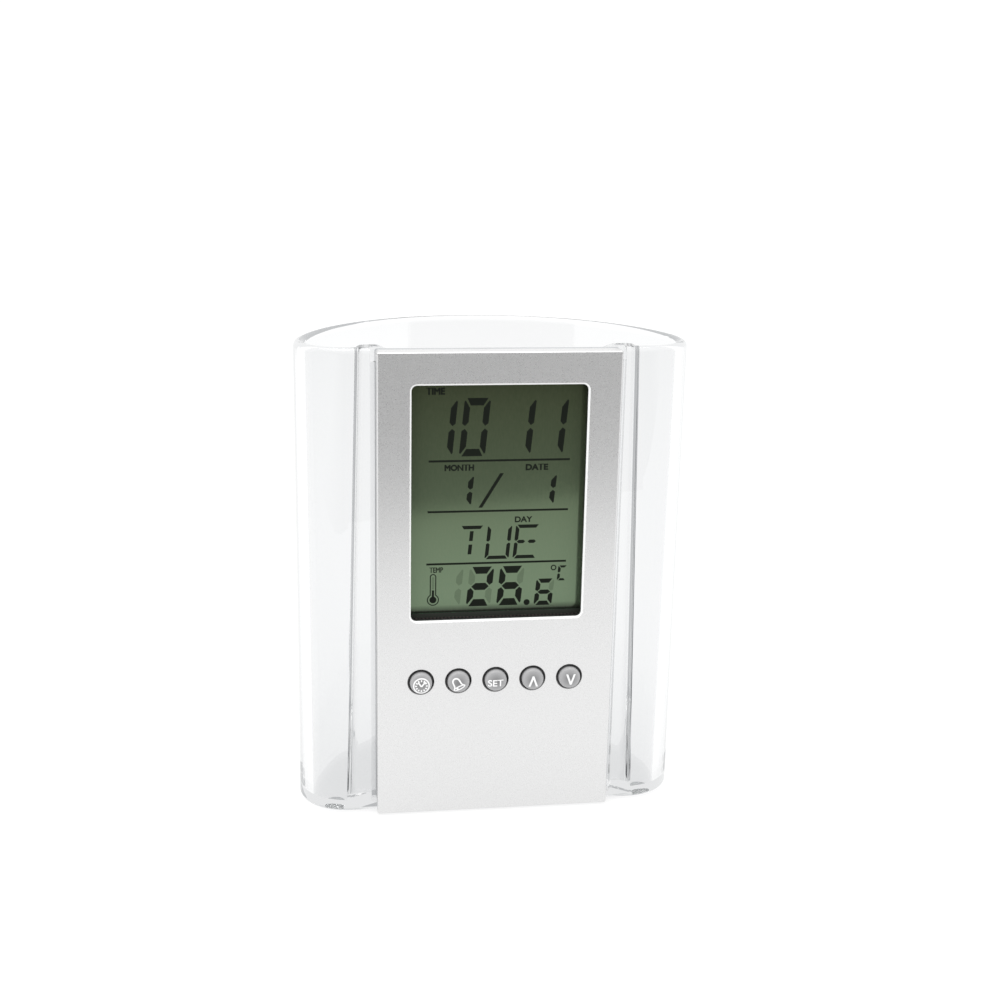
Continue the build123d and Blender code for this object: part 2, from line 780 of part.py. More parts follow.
with BuildPart() as negative_contact:
    with BuildSketch(across_plane(cell_x, 0, 0)):
        with BuildLine():
            Polyline(
                (contact_low_depth, cell_row - contact_bow),
                (contact_depth, cell_row),
                (contact_low_depth, cell_row + contact_bow),
                (contact_low_depth, contact_bend_row),
                (contact_end_depth, contact_bend_row + contact_bend_length),
                (contact_end_depth, board_base + contact_overlap),
            )
        trace(line_width=contact_thickness)
    extrude(amount=contact_width / 2, both=True)
negative_contact.part.label = "negative_contact"
export_step(negative_contact.part, "parts/negative_contact.step")

side_contact_lift = 0.5
side_contact_x = cell_x + cell_diameter / 2 + shank_gap
side_contact_front = well_back + side_contact_lift
side_contact_back = spigot_front - slide_gap
side_contact_base = cell_row - contact_width

with BuildPart() as positive_contact:
    with BuildSketch(depth_plane(side_contact_back)):
        with Locations((side_contact_x + contact_thickness / 2, side_contact_base)):
            side_height = board_base + contact_overlap - side_contact_base
            Rectangle(contact_thickness, side_height, align=(Align.CENTER, Align.MIN))
    extrude(amount=side_contact_back - side_contact_front)
    with BuildSketch(depth_plane(board_front)):
        with Locations((side_contact_x, board_base + contact_overlap)):
            Rectangle(contact_width, contact_overlap - contact_thickness, align=(Align.MIN, Align.MAX))
    extrude(amount=contact_thickness)
positive_contact.part.label = "positive_contact"
export_step(positive_contact.part, "parts/positive_contact.step")


# Battery cap: a round twist cap with a hollow spigot, two lugs under the ledge and a coin slot
lug_thickness = ledge_front - spigot_front - fit_gap
coin_slot_length = 11.0
coin_slot_width = 1.8
coin_slot_depth = 0.45
cap_edge = 0.3

with BuildPart() as battery_cap:
    with BuildSketch(depth_plane(module_thickness)):
        with Locations((cell_x, cell_row)):
            Circle(cap_radius)
    extrude(amount=cap_thickness)
    chamfer(battery_cap.faces().sort_by(Axis.Y)[-1].edges(), length=cap_edge)
    with BuildSketch(depth_plane(ledge_back)):
        with Locations((cell_x, cell_row)):
            Circle(spigot_radius)
    extrude(amount=spigot_length)
    with BuildSketch(depth_plane(spigot_front + lug_thickness)):
        with Locations((cell_x, cell_row)):
            Rectangle(2 * lug_reach, lug_width)
    extrude(amount=lug_thickness)
    with BuildSketch(depth_plane(module_thickness - cap_floor)):
        with Locations((cell_x, cell_row)):
            Circle(spigot_bore_radius)
    extrude(amount=module_thickness - cap_floor - spigot_front, mode=Mode.SUBTRACT)
    with BuildSketch(depth_plane(module_thickness)):
        with Locations((cell_x, cell_row)):
            SlotOverall(coin_slot_length, coin_slot_width)
    extrude(amount=coin_slot_depth, mode=Mode.SUBTRACT)
battery_cap.part.label = "battery_cap"
export_step(battery_cap.part, "parts/battery_cap.step")


# Alarm buzzer: brass plate in the ring, ceramic disc on it, and two leads soldered behind the board
ceramic_radius = 7.0
ceramic_thickness = 0.2
plate_front = buzzer_seat - buzzer_plate_thickness
ceramic_front = plate_front - ceramic_thickness
lead_radius = 0.25
lead_spread = 2.0
lead_overlap = 2.5
lead_bend_radius = 0.8
lead_rise_drop = 2.8
lead_rise_row = board_base - lead_rise_drop
lead_board_depth = board_back + lead_radius

with BuildPart() as buzzer_plate:
    with BuildSketch(depth_plane(buzzer_seat)):
        with Locations((buzzer_x, buzzer_row)):
            Circle(buzzer_radius)
    extrude(amount=buzzer_plate_thickness)
buzzer_plate.part.label = "buzzer_plate"
export_step(buzzer_plate.part, "parts/buzzer_plate.step")

with BuildPart() as buzzer_ceramic:
    with BuildSketch(depth_plane(plate_front)):
        with Locations((buzzer_x, buzzer_row)):
            Circle(ceramic_radius)
    extrude(amount=ceramic_thickness)
buzzer_ceramic.part.label = "buzzer_ceramic"
export_step(buzzer_ceramic.part, "parts/buzzer_ceramic.step")

lead_depth = ceramic_front - lead_radius
lead_start_rows = (buzzer_row + ceramic_radius / 2, buzzer_row + (ceramic_radius + buzzer_radius) / 2)

with BuildPart() as buzzer_leads:
    for side, start_row in zip((-1, 1), lead_start_rows):
        with BuildLine(across_plane(buzzer_x + side * lead_spread, 0, 0)) as route:
            FilletPolyline(
                (lead_depth, start_row),
                (lead_depth, lead_rise_row),
                (lead_board_depth, board_base - lead_bend_radius),
                (lead_board_depth, board_base + lead_overlap),
                radius=lead_bend_radius,
            )
        with BuildSketch(Plane(origin=route.line @ 0, z_dir=route.line % 0)):
            Circle(lead_radius)
        sweep(path=route.line)
buzzer_leads.part.label = "buzzer_leads"
export_step(buzzer_leads.part, "parts/buzzer_leads.step")


# Six screws that hold the rear housing to the front cover
thread_end = lens_back

with BuildPart() as housing_screws:
    with BuildSketch(depth_plane(head_seat)):
        with Locations(*screw_places):
            Circle(shank_radius)
    extrude(amount=head_seat - thread_end)
    with BuildSketch(depth_plane(head_seat + head_height)):
        with Locations(*screw_places):
            Circle(head_radius)
    extrude(amount=head_height)
housing_screws.part.label = "housing_screws"
export_step(housing_screws.part, "parts/housing_screws.step")
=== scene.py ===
import bpy
import bmesh
import math
from mathutils import Matrix, Vector


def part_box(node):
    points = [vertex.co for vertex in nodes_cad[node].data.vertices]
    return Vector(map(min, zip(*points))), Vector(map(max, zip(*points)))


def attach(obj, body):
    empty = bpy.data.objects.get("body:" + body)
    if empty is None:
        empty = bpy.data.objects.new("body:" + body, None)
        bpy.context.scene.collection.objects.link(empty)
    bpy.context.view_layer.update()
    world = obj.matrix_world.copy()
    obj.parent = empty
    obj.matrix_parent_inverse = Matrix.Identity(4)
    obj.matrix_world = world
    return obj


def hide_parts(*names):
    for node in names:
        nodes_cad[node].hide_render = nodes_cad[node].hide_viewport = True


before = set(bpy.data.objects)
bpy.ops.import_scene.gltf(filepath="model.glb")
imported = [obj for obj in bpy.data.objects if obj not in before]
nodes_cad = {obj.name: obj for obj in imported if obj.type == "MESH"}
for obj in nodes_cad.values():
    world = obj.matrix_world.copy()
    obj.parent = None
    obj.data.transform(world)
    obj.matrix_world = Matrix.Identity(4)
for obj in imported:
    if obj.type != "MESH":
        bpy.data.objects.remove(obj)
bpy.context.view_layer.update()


# Cup: one clear polystyrene moulding, polished inside and out. It holds the pens, and a grooved recess in
# its flat front takes the clock. The moulding leaves a slight waviness in the walls and fine rubbing marks.
mm = 0.001


def start_finish(name):
    """New material with its node tree, its shader and a coordinate node fixed to the object."""
    material = bpy.data.materials.new(name)
    material.use_nodes = True
    tree = material.node_tree
    shader = tree.nodes["Principled BSDF"]
    place = tree.nodes.new("ShaderNodeTexCoord").outputs["Object"]
    return material, tree, shader, place


def add_noise(tree, place, size, detail=2.0, stretch=(1, 1, 1)):
    """Noise with features of a given size in metres, stretched along the axes. Returns its 0 to 1 value."""
    mapping = tree.nodes.new("ShaderNodeMapping")
    mapping.inputs["Scale"].default_value = stretch
    noise = tree.nodes.new("ShaderNodeTexNoise")
    noise.inputs["Scale"].default_value = 1 / size
    noise.inputs["Detail"].default_value = detail
    tree.links.new(place, mapping.inputs["Vector"])
    tree.links.new(mapping.outputs["Vector"], noise.inputs["Vector"])
    return noise.outputs["Fac"]


def add_range(tree, value, low, high, to_low=0.0, to_high=1.0):
    """Value moved from one range to another, clamped at both ends."""
    node = tree.nodes.new("ShaderNodeMapRange")
    node.inputs["From Min"].default_value = low
    node.inputs["From Max"].default_value = high
    node.inputs["To Min"].default_value = to_low
    node.inputs["To Max"].default_value = to_high
    tree.links.new(value, node.inputs["Value"])
    return node.outputs["Result"]


def add_mix(tree, factor, first, second):
    """Colour between two, each a colour or another node's output."""
    node = tree.nodes.new("ShaderNodeMix")
    node.data_type = "RGBA"
    tree.links.new(factor, node.inputs["Factor"])
    for name, colour in (("A", first), ("B", second)):
        socket = [s for s in node.inputs if s.name == name and s.type == "RGBA"][0]
        if isinstance(colour, tuple):
            socket.default_value = (*colour, 1.0)
        else:
            tree.links.new(colour, socket)
    return [s for s in node.outputs if s.type == "RGBA"][0]


def add_math(tree, operation, first, second):
    """Sum, product or other sum of two values, each a number or another node's output."""
    node = tree.nodes.new("ShaderNodeMath")
    node.operation = operation
    for socket, value in zip(node.inputs, (first, second)):
        if isinstance(value, (int, float)):
            socket.default_value = value
        else:
            tree.links.new(value, socket)
    return node.outputs["Value"]


def add_bump(tree, shader, height, depth, strength=1.0):
    """Bump on the shader's surface from a height of 0 to 1, with its full depth in metres."""
    node = tree.nodes.new("ShaderNodeBump")
    node.inputs["Strength"].default_value = strength
    node.inputs["Distance"].default_value = depth
    tree.links.new(height, node.inputs["Height"])
    tree.links.new(node.outputs["Normal"], shader.inputs["Normal"])


def dress(names, material):
    """Gives CAD nodes their finish."""
    for name in names:
        for slot in nodes_cad[name].material_slots:
            slot.material = material


caught_depth = 5.5
straight_tint = (0.77, 0.775, 0.78)


def let_light_through(tree, shader):
    """Sends lamp light, light scattered by other pieces and light caught inside straight through a solid."""
    path = tree.nodes.new("ShaderNodeLightPath")
    straight = tree.nodes.new("ShaderNodeBsdfTransparent")
    straight.inputs["Color"].default_value = (*straight_tint, 1.0)
    outer = add_math(tree, "MAXIMUM", path.outputs["Is Shadow Ray"], path.outputs["Is Diffuse Ray"])
    caught = add_math(tree, "GREATER_THAN", path.outputs["Ray Depth"], caught_depth)
    straight_on = add_math(tree, "MAXIMUM", outer, caught)
    mixer = tree.nodes.new("ShaderNodeMixShader")
    tree.links.new(straight_on, mixer.inputs["Fac"])
    tree.links.new(shader.outputs["BSDF"], mixer.inputs[1])
    tree.links.new(straight.outputs["BSDF"], mixer.inputs[2])
    tree.links.new(mixer.outputs["Shader"], tree.nodes["Material Output"].inputs["Surface"])


def clear_moulding(name, tint, index, waviness, rubbed):
    """Clear polished plastic with slight waves and fine rubbing marks."""
    material, tree, shader, place = start_finish(name)
    rubbing = add_noise(tree, place, 2.5 * mm, 6.0, (1, 1, 0.12))
    marks = add_range(tree, rubbing, 0.55, 0.8, 0.0, rubbed)
    tree.links.new(marks, shader.inputs["Roughness"])
    cloud = add_noise(tree, place, 60 * mm)
    clearest = tuple(min(1.0, channel * 1.01) for channel in tint)
    tree.links.new(add_mix(tree, cloud, tint, clearest), shader.inputs["Base Color"])
    add_bump(tree, shader, add_noise(tree, place, 14 * mm), waviness * mm)
    shader.inputs["IOR"].default_value = index
    shader.inputs["Transmission Weight"].default_value = 1.0
    let_light_through(tree, shader)
    return material


cup_tint = (0.89, 0.894, 0.897)
cup_index = 1.49
cup_waviness = 0.008
cup_rubbed = 0.03
cup_finish = clear_moulding("clear_polystyrene", cup_tint, cup_index, cup_waviness, cup_rubbed)
dress(["cup"], cup_finish)


# Feet: four soft frosted pads stuck under the clear floor, inside its corners.
# They show through the floor as small grey discs.
def frosted_rubber():
    """Translucent soft plastic with a dull skin."""
    material, tree, shader, place = start_finish("frosted_pad")
    grain = add_noise(tree, place, 0.4 * mm, 3.0)
    tree.links.new(add_mix(tree, grain, (0.86, 0.87, 0.87), (0.94, 0.95, 0.95)), shader.inputs["Base Color"])
    add_bump(tree, shader, grain, 0.03 * mm)
    shader.inputs["Roughness"].default_value = 0.35
    shader.inputs["IOR"].default_value = 1.41
    shader.inputs["Transmission Weight"].default_value = 0.7
    return material


dress(["feet"], frosted_rubber())


# Front cover: one moulded shell, sprayed with silver paint that holds fine metal flakes. The bevel round the
# window carries a painted highlight, and the window's wall is dark bare plastic. The walls of the button
# holes carry a painted shadow, dark at their top and sides. The inside is bare grey plastic. Six screws from
# behind hold it.
foot_height = 0.5
face_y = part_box("front_cover")[0].y
window_half = 23.4
window_base = 56.6
window_height = 64.6
window_bevel = 0.5
button_row = 39.0
button_pitch = (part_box("down_button")[0].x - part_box("mode_button")[0].x) / 4
# The holes' dark mask is centred a lift above each button, so their walls are dark at the top and sides and
# stay silver at the foot: a painted shadow.
hole_reach = 3.65
hole_lip = 0.06
hole_shadow_lift = 0.3
bevel_margin = 0.1
bevel_painted_highlight, bare_wall_and_shadow = (0.97, 0.97, 0.97), (0.035, 0.035, 0.035)


def face_place(x, row, depth):
    """Point on the module from its place on the face and its depth behind it, both in millimetres."""
    return Vector((x * mm, face_y + depth * mm, (row + foot_height) * mm))


paint_dark, paint_light = (0.715, 0.715, 0.715), (0.775, 0.775, 0.775)


def add_split(tree, vector):
    """Node that parts a vector into its X, Y and Z."""
    split = tree.nodes.new("ShaderNodeSeparateXYZ")
    tree.links.new(vector, split.inputs["Vector"])
    return split


def distance_to_button(tree, split, lift=0.0):
    """Distance across the face from the middle of the nearest button, or from a point a lift above it."""
    beside = tree.nodes.new("ShaderNodeMath")
    beside.operation = "WRAP"
    tree.links.new(split.outputs["X"], beside.inputs[0])
    beside.inputs[1].default_value = button_pitch / 2
    beside.inputs[2].default_value = -button_pitch / 2
    rise = add_math(tree, "SUBTRACT", split.outputs["Z"], face_place(0, button_row + lift, 0).z)
    beside_squared = add_math(tree, "MULTIPLY", beside.outputs["Value"], beside.outputs["Value"])
    squares = add_math(tree, "ADD", beside_squared, add_math(tree, "MULTIPLY", rise, rise))
    return add_math(tree, "SQRT", squares, 0.0)


def within_window(tree, split, margin):
    """Mask of the window seen from the front, widened all round by a margin in millimetres."""
    beside = add_math(tree, "ABSOLUTE", split.outputs["X"], 0.0)
    inside_x = add_math(tree, "LESS_THAN", beside, (window_half + margin) * mm)
    foot = face_place(0, window_base - margin, 0).z
    head = face_place(0, window_base + window_height + margin, 0).z
    above = add_math(tree, "GREATER_THAN", split.outputs["Z"], foot)
    below = add_math(tree, "LESS_THAN", split.outputs["Z"], head)
    return add_math(tree, "MULTIPLY", inside_x, add_math(tree, "MULTIPLY", above, below))


def silver_paint():
    """Silver flake paint, near white on the window's bevel as a painted highlight. Dark bare plastic on the
    window's wall, and a painted shadow on the walls of the button holes, dark at their top and sides.
    """
    material, tree, shader, place = start_finish("silver_paint")
    flakes = add_noise(tree, place, 0.12 * mm, 2.0)
    clouds = add_noise(tree, place, 0.4 * mm, 2.0)
    speckle = add_math(tree, "ADD", add_math(tree, "MULTIPLY", flakes, 0.6),
                       add_math(tree, "MULTIPLY", clouds, 0.4))
    paint = add_mix(tree, add_range(tree, speckle, 0.35, 0.65), paint_dark, paint_light)
    split = add_split(tree, place)
    behind_bevel = add_math(tree, "GREATER_THAN", split.outputs["Y"], face_y + (window_bevel + 0.02) * mm)
    window_wall = add_math(tree, "MULTIPLY", behind_bevel, within_window(tree, split, bevel_margin))
    past_face = add_math(tree, "GREATER_THAN", split.outputs["Y"], face_y + 0.03 * mm)
    bevel = add_math(tree, "MULTIPLY", past_face, within_window(tree, split, window_bevel + bevel_margin))
    # Painted shadow on the button holes' walls, deepest at their top; the window's wall is dark bare
    # plastic.
    near_hole = add_math(tree, "LESS_THAN", distance_to_button(tree, split, hole_shadow_lift), hole_reach * mm)
    beside = add_math(tree, "ABSOLUTE", split.outputs["X"], 0.0)
    in_row = add_math(tree, "LESS_THAN", beside, 2.5 * button_pitch)
    in_hole = add_math(tree, "MULTIPLY", near_hole, in_row)
    past_lip = add_math(tree, "GREATER_THAN", split.outputs["Y"], face_y + hole_lip * mm)
    wall = add_math(tree, "MAXIMUM", window_wall, add_math(tree, "MULTIPLY", in_hole, past_lip))
    # Painted highlight: the bevel round the window is coloured near white so that it reads as a bright line.
    outside = add_mix(tree, bevel, paint, bevel_painted_highlight)
    tree.links.new(add_mix(tree, wall, outside, bare_wall_and_shadow), shader.inputs["Base Color"])
    metal = add_range(tree, add_math(tree, "MAXIMUM", wall, bevel), 0.0, 1.0, 0.9, 0.0)
    tree.links.new(metal, shader.inputs["Metallic"])
    tree.links.new(add_range(tree, speckle, 0.35, 0.65, 0.26, 0.32), shader.inputs["Roughness"])
    add_bump(tree, shader, speckle, 0.002 * mm)
    return material


dress(["front_cover"], silver_paint())


# Rear housing and battery cap: grey moulded plastic with a fine spark-eroded texture, unpainted.
# The cap is a quarter-turn plug that is opened with a coin.
def moulded_plastic(name, dark, light, grain_size, grain_depth, roughness):
    """Plain moulded plastic with a fine eroded texture and slight shade changes."""
    material, tree, shader, place = start_finish(name)
    grain = add_noise(tree, place, grain_size * mm, 3.0)
    shade = add_noise(tree, place, 12 * mm)
    mixed = add_math(tree, "ADD", add_math(tree, "MULTIPLY", grain, 0.4),
                     add_math(tree, "MULTIPLY", shade, 0.6))
    colour = add_mix(tree, add_range(tree, mixed, 0.35, 0.65), dark, light)
    dulled = add_range(tree, grain, 0.3, 0.7, roughness - 0.06, roughness + 0.06)
    tree.links.new(colour, shader.inputs["Base Color"])
    tree.links.new(dulled, shader.inputs["Roughness"])
    add_bump(tree, shader, grain, grain_depth * mm)
    return material


housing_finish = moulded_plastic("grey_housing", (0.40, 0.41, 0.42), (0.47, 0.48, 0.49), 0.35, 0.02, 0.5)
dress(["rear_housing", "battery_cap"], housing_finish)


# Window lens: a thin clear acrylic plate, cut to size and polished, with a coating that takes away its
# reflections. It is glued behind the window from inside.
def thin_clear(name, dark, light, alpha):
    """Thin clear plate that lets light straight through, with a faint cast of its own."""
    material, tree, shader, place = start_finish(name)
    cloud = add_noise(tree, place, 20 * mm)
    tree.links.new(add_mix(tree, cloud, dark, light), shader.inputs["Base Color"])
    shader.inputs["Alpha"].default_value = alpha
    shader.inputs["Roughness"].default_value = 0.05
    shader.inputs["Specular IOR Level"].default_value = 0.0
    return material


dress(["window_lens"], thin_clear("clear_acrylic", (0.0003, 0.0003, 0.0003), (0.0009, 0.0009, 0.0009), 0.01))


# Liquid crystal glass: two thin plates with ground edges and a polariser on each outer face.
# The front plate is longer at its foot, where its contacts lie.
glass_gap = 0.04
glass_edge = 0.12


def new_piece(name, shape, material):
    """Object in the scene, made from a finished shape and its material."""
    mesh = bpy.data.meshes.new(name)
    shape.to_mesh(mesh)
    shape.free()
    mesh.materials.append(material)
    piece = bpy.data.objects.new(name, mesh)
    bpy.context.scene.collection.objects.link(piece)
    return piece


def slab(name, low, high, edge, material, body, nodes):
    """Plate with ground edges between two corners, standing for CAD nodes."""
    shape = bmesh.new()
    bmesh.ops.create_cube(shape, size=1.0)
    size = high - low
    bmesh.ops.scale(shape, vec=size, verts=shape.verts)
    bmesh.ops.translate(shape, vec=(low + high) / 2, verts=shape.verts)
    bmesh.ops.bevel(shape, geom=shape.edges[:], offset=edge * mm, segments=2, profile=0.5, affect="EDGES")
    piece = new_piece(name, shape, material)
    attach(piece, body)
    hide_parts(*nodes)
    return piece


glass_finish = thin_clear("display_glass", (0.0002, 0.0004, 0.0002), (0.0007, 0.0009, 0.0006), 0.01)
for node_name in ("lcd_front_glass", "lcd_rear_glass"):
    glass_low, glass_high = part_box(node_name)
    inset = Vector((0, glass_gap * mm, 0))
    slab(node_name + "_plate", glass_low + inset, glass_high - inset, glass_edge, glass_finish, "module",
         [node_name])


# Display figures: the dark parts of the liquid crystal, a film between the two plates. Segments that are
# off still show faintly from the side. Ruled lines part the time, date, weekday and temperature.
lean = 0.092
figure_depth = 3.39
figure_thickness = 0.012


def figure_piece(name, outlines, material, depth, thickness, body, holes=()):
    """Thin prisms from closed outlines given in millimetres on the module's face."""
    shape = bmesh.new()
    for outline in outlines:
        front = [shape.verts.new(face_place(x, row, depth)) for x, row in outline]
        back = [shape.verts.new(face_place(x, row, depth + thickness)) for x, row in outline]
        shape.faces.new(front)
        shape.faces.new(back[::-1])
        for i in range(len(front)):
            j = (i + 1) % len(front)
            shape.faces.new((front[j], front[i], back[i], back[j]))
    for outer, inner in holes:
        rings = []
        for outline in (outer, inner):
            for level in (depth, depth + thickness):
                rings.append([shape.verts.new(face_place(x, row, level)) for x, row in outline])
        outer_front, outer_back, inner_front, inner_back = rings
        for i in range(len(outer)):
            j = (i + 1) % len(outer)
            shape.faces.new((outer_front[i], outer_front[j], inner_front[j], inner_front[i]))
            shape.faces.new((outer_back[j], outer_back[i], inner_back[i], inner_back[j]))
            shape.faces.new((outer_front[j], outer_front[i], outer_back[i], outer_back[j]))
            shape.faces.new((inner_front[i], inner_front[j], inner_back[j], inner_back[i]))
    bmesh.ops.recalc_face_normals(shape, faces=shape.faces)
    piece = new_piece(name, shape, material)
    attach(piece, body)
    return piece


def leaned(left, base, outline):
    """Outline of one cell, put in its place and leaned like the digits."""
    return [(left + x + lean * y, base + y) for x, y in outline]


def seven_segments(left, base, width, height, stem, bar):
    """The seven leaning segments of one digit, as outlines named a to g."""
    middle = height / 2
    gap = 0.19 * bar
    flat = {
        "a": [(0.42 * stem, height), (width - 0.42 * stem, height), (width - 1.08 * stem, height - bar),
              (1.08 * stem, height - bar)],
        "f": [(0, height - 0.5 * bar), (0.18 * stem, height - 0.3 * bar), (stem, height - 1.32 * bar),
              (stem, middle + 0.68 * bar), (0.5 * stem, middle + gap), (0, middle + 0.5 * bar)],
        "g": [(0.55 * stem, middle), (1.15 * stem, middle + bar / 2),
              (width - 1.15 * stem, middle + bar / 2), (width - 0.55 * stem, middle),
              (width - 1.15 * stem, middle - bar / 2), (1.15 * stem, middle - bar / 2)],
    }

    def across(outline):
        return [(width - x, y) for x, y in outline]

    def below(outline):
        return [(x, height - y) for x, y in outline]

    flat["b"] = across(flat["f"])
    flat["e"] = below(flat["f"])
    flat["c"] = across(flat["e"])
    flat["d"] = below(flat["a"])
    return {name: leaned(left, base, outline) for name, outline in flat.items()}


def circle(x, row, radius, count=48):
    """Points round a circle."""
    turns = [2 * math.pi * i / count for i in range(count)]
    return [(x + radius * math.cos(a), row + radius * math.sin(a)) for a in turns]


def bar_between(start, end, width):
    """Straight bar with square ends."""
    along = Vector((end[0] - start[0], end[1] - start[1])).normalized()
    side = Vector((-along.y, along.x)) * width / 2
    return [(start[0] + side.x, start[1] + side.y), (start[0] - side.x, start[1] - side.y),
            (end[0] - side.x, end[1] - side.y), (end[0] + side.x, end[1] + side.y)]


def crystal_dark(name, colour, alpha):
    """Dark crystal, a little uneven, let through by its alpha."""
    material, tree, shader, place = start_finish(name)
    cloud = add_noise(tree, place, 3 * mm, 3.0)
    darker = tuple(channel * 0.8 for channel in colour)
    tree.links.new(add_mix(tree, cloud, darker, colour), shader.inputs["Base Color"])
    shader.inputs["Roughness"].default_value = 0.5
    shader.inputs["Specular IOR Level"].default_value = 0.0
    shader.inputs["Alpha"].default_value = alpha
    return material


lit_shapes = {"1": "bc", "0": "abcdef", "2": "abged", "6": "acdefg", " ": ""}
# Each cell: foot, width, height, width of its stems and height of its bars
time_digits = [(-19.25, "1"), (-10.5, "0"), (1.75, "1"), (10.5, "1")]
time_cell = (101.45, 7.0, 15.75, 1.65, 2.0)
date_digits = [(-12.1, "1"), (10.4, "1")]
date_cell = (87.7, 5.05, 8.6, 1.4, 1.4)
warm_digits = [(-8.1, "2"), (0.25, "6")]
warm_cell = (59.3, 6.7, 11.25, 1.72, 2.0)
hundred_left, tenth_left = -16.5, 10.65
tenth_cell = (59.05, 5.0, 7.6, 1.28, 1.22)
point_x, point_row, point_radius = 8.75, 60.0, 0.85
slash = [(-5.0, 87.2), (-4.0, 87.2), (1.7, 96.65), (0.7, 96.65)]
rules = ((-18.5, 19.55, 100.2), (-18.7, 19.5, 86.25), (-18.95, 19.4, 71.6))
rule_width = 0.56
dark_outlines = []
ghost_outlines = []


def put_digit(left, cell, digit, ghosts=""):
    """Sorts one digit's segments into those that are on and those that show faintly."""
    for name, outline in seven_segments(left, *cell).items():
        if name in lit_shapes[digit]:
            dark_outlines.append(outline)
        elif name in ghosts:
            ghost_outlines.append(outline)


for left, digit in time_digits:
    put_digit(left, time_cell, digit)
for left, digit in date_digits:
    put_digit(left, date_cell, digit)
for left, digit in warm_digits:
    put_digit(left, warm_cell, digit, "abcdefg")
put_digit(hundred_left, warm_cell, " ", "bc")
put_digit(tenth_left, tenth_cell, "6", "b")
dark_outlines.append(circle(point_x, point_row, point_radius, 24))
dark_outlines.append(slash)
for left, right, row in rules:
    dark_outlines.append([(left, row - rule_width / 2), (right, row - rule_width / 2),
                          (right, row + rule_width / 2), (left, row + rule_width / 2)])

# Weekday in leaning letter segments, thinner than the digits
letter_lefts = (-10.75, -3.18, 4.5)
letter_base, letter_width, letter_height, letter_stem, letter_bar = 72.65, 6.65, 9.55, 1.0, 0.95
stem_gap, bar_gap = 0.5, 0.35
letter_cells = [seven_segments(left, letter_base, letter_width, letter_height, letter_stem, letter_bar)
                for left in letter_lefts]


def box_outline(left, right, low, high):
    """Upright rectangle as an outline."""
    return [(left, low), (right, low), (right, high), (left, high)]


def stem_pair(left, centre):
    """Two short stems in the middle of a letter's cell."""
    half = letter_stem / 2
    middle = letter_height / 2
    low = 1.6 * letter_bar
    top = letter_height - low
    upper = box_outline(centre - half, centre + half, middle + stem_gap, top)
    lower = box_outline(centre - half, centre + half, low, middle - stem_gap)
    return [leaned(left, letter_base, upper), leaned(left, letter_base, lower)]


def half_bars(left, halves):
    """The two short middle bars of a letter's cell."""
    middle = letter_height / 2
    edge = 0.7 * letter_stem
    centre = letter_width / 2
    spans = {"left": (edge, centre - bar_gap), "right": (centre + bar_gap, letter_width - edge)}
    made = []
    for half in halves:
        start, end = spans[half]
        tip = letter_bar / 2
        made.append(leaned(left, letter_base, [
            (start, middle), (start + tip, middle + tip), (end - tip, middle + tip), (end, middle),
            (end - tip, middle - tip), (start + tip, middle - tip)]))
    return made


dark_outlines += [letter_cells[0]["a"]] + stem_pair(letter_lefts[0], letter_width / 2)
dark_outlines += [letter_cells[1][name] for name in "bcdef"]
dark_outlines += [letter_cells[2][name] for name in "adef"] + half_bars(letter_lefts[2], ("left", "right"))

# Degree ring, a C in four short segments, and the thermometer
ring_x, ring_row, ring_outer, ring_inner = 16.0, 69.75, 0.8, 0.48
ring_shapes = [(circle(ring_x, ring_row, ring_outer), circle(ring_x, ring_row, ring_inner))]
c_left, c_base, c_width, c_height, c_stem, c_bar = 16.95, 66.0, 2.6, 4.3, 0.75, 0.62
c_cell = seven_segments(c_left, c_base, c_width, c_height, c_stem, c_bar)
dark_outlines += [c_cell[name] for name in "adef"]
bulb_x, bulb_row, bulb_radius, tube_half, tube_top = -17.1, 61.45, 1.65, 0.88, 68.85
wall_width = 0.28
liquid_radius, liquid_half, liquid_top = 0.95, 0.3, 64.2
unlit_low, unlit_high = 64.5, 67.9


def thermometer(shrink):
    """Outline of the thermometer's bulb and tube, drawn in by a distance."""
    bulb = bulb_radius - shrink
    half = tube_half - shrink
    neck = math.asin(half / bulb)
    steps = 40
    turns = [neck + (2 * math.pi - 2 * neck) * i / steps for i in range(steps + 1)]
    low = [(bulb_x + bulb * math.sin(a), bulb_row + bulb * math.cos(a)) for a in turns]
    top_row = tube_top - tube_half
    cap = [(bulb_x - half * math.cos(math.pi * i / 16), top_row + half * math.sin(math.pi * i / 16))
           for i in range(17)]
    return low + cap


ring_shapes.append((thermometer(0), thermometer(wall_width)))
dark_outlines.append(circle(bulb_x, bulb_row, liquid_radius, 32))
dark_outlines.append(box_outline(bulb_x - liquid_half, bulb_x + liquid_half, bulb_row, liquid_top))
ghost_outlines.append(box_outline(bulb_x - liquid_half, bulb_x + liquid_half, unlit_low, unlit_high))

# Dark seal of the two plates, along the foot of the glass, coloured as a painted shadow under the window's
# foot wall
seal_shadow_half, seal_shadow_low, seal_shadow_high = 24.3, 56.45, 57.7
seal_shadow_outline = box_outline(-seal_shadow_half, seal_shadow_half, seal_shadow_low, seal_shadow_high)
seal_shadow_finish = crystal_dark("edge_seal_shadow", (0.05, 0.055, 0.047), 1.0)
dark_crystal = crystal_dark("crystal_on", (0.015, 0.018, 0.014), 1.0)
faint_crystal = crystal_dark("crystal_off", (0.00002, 0.00003, 0.00003), 0.13)


def keep_single(piece):
    """Stops a film of crystal from showing a second time in the reflector behind it."""
    piece.visible_diffuse = False
    piece.visible_glossy = False
    piece.visible_shadow = False


keep_single(figure_piece("display_figures", dark_outlines, dark_crystal, figure_depth, figure_thickness,
                         "module", ring_shapes))
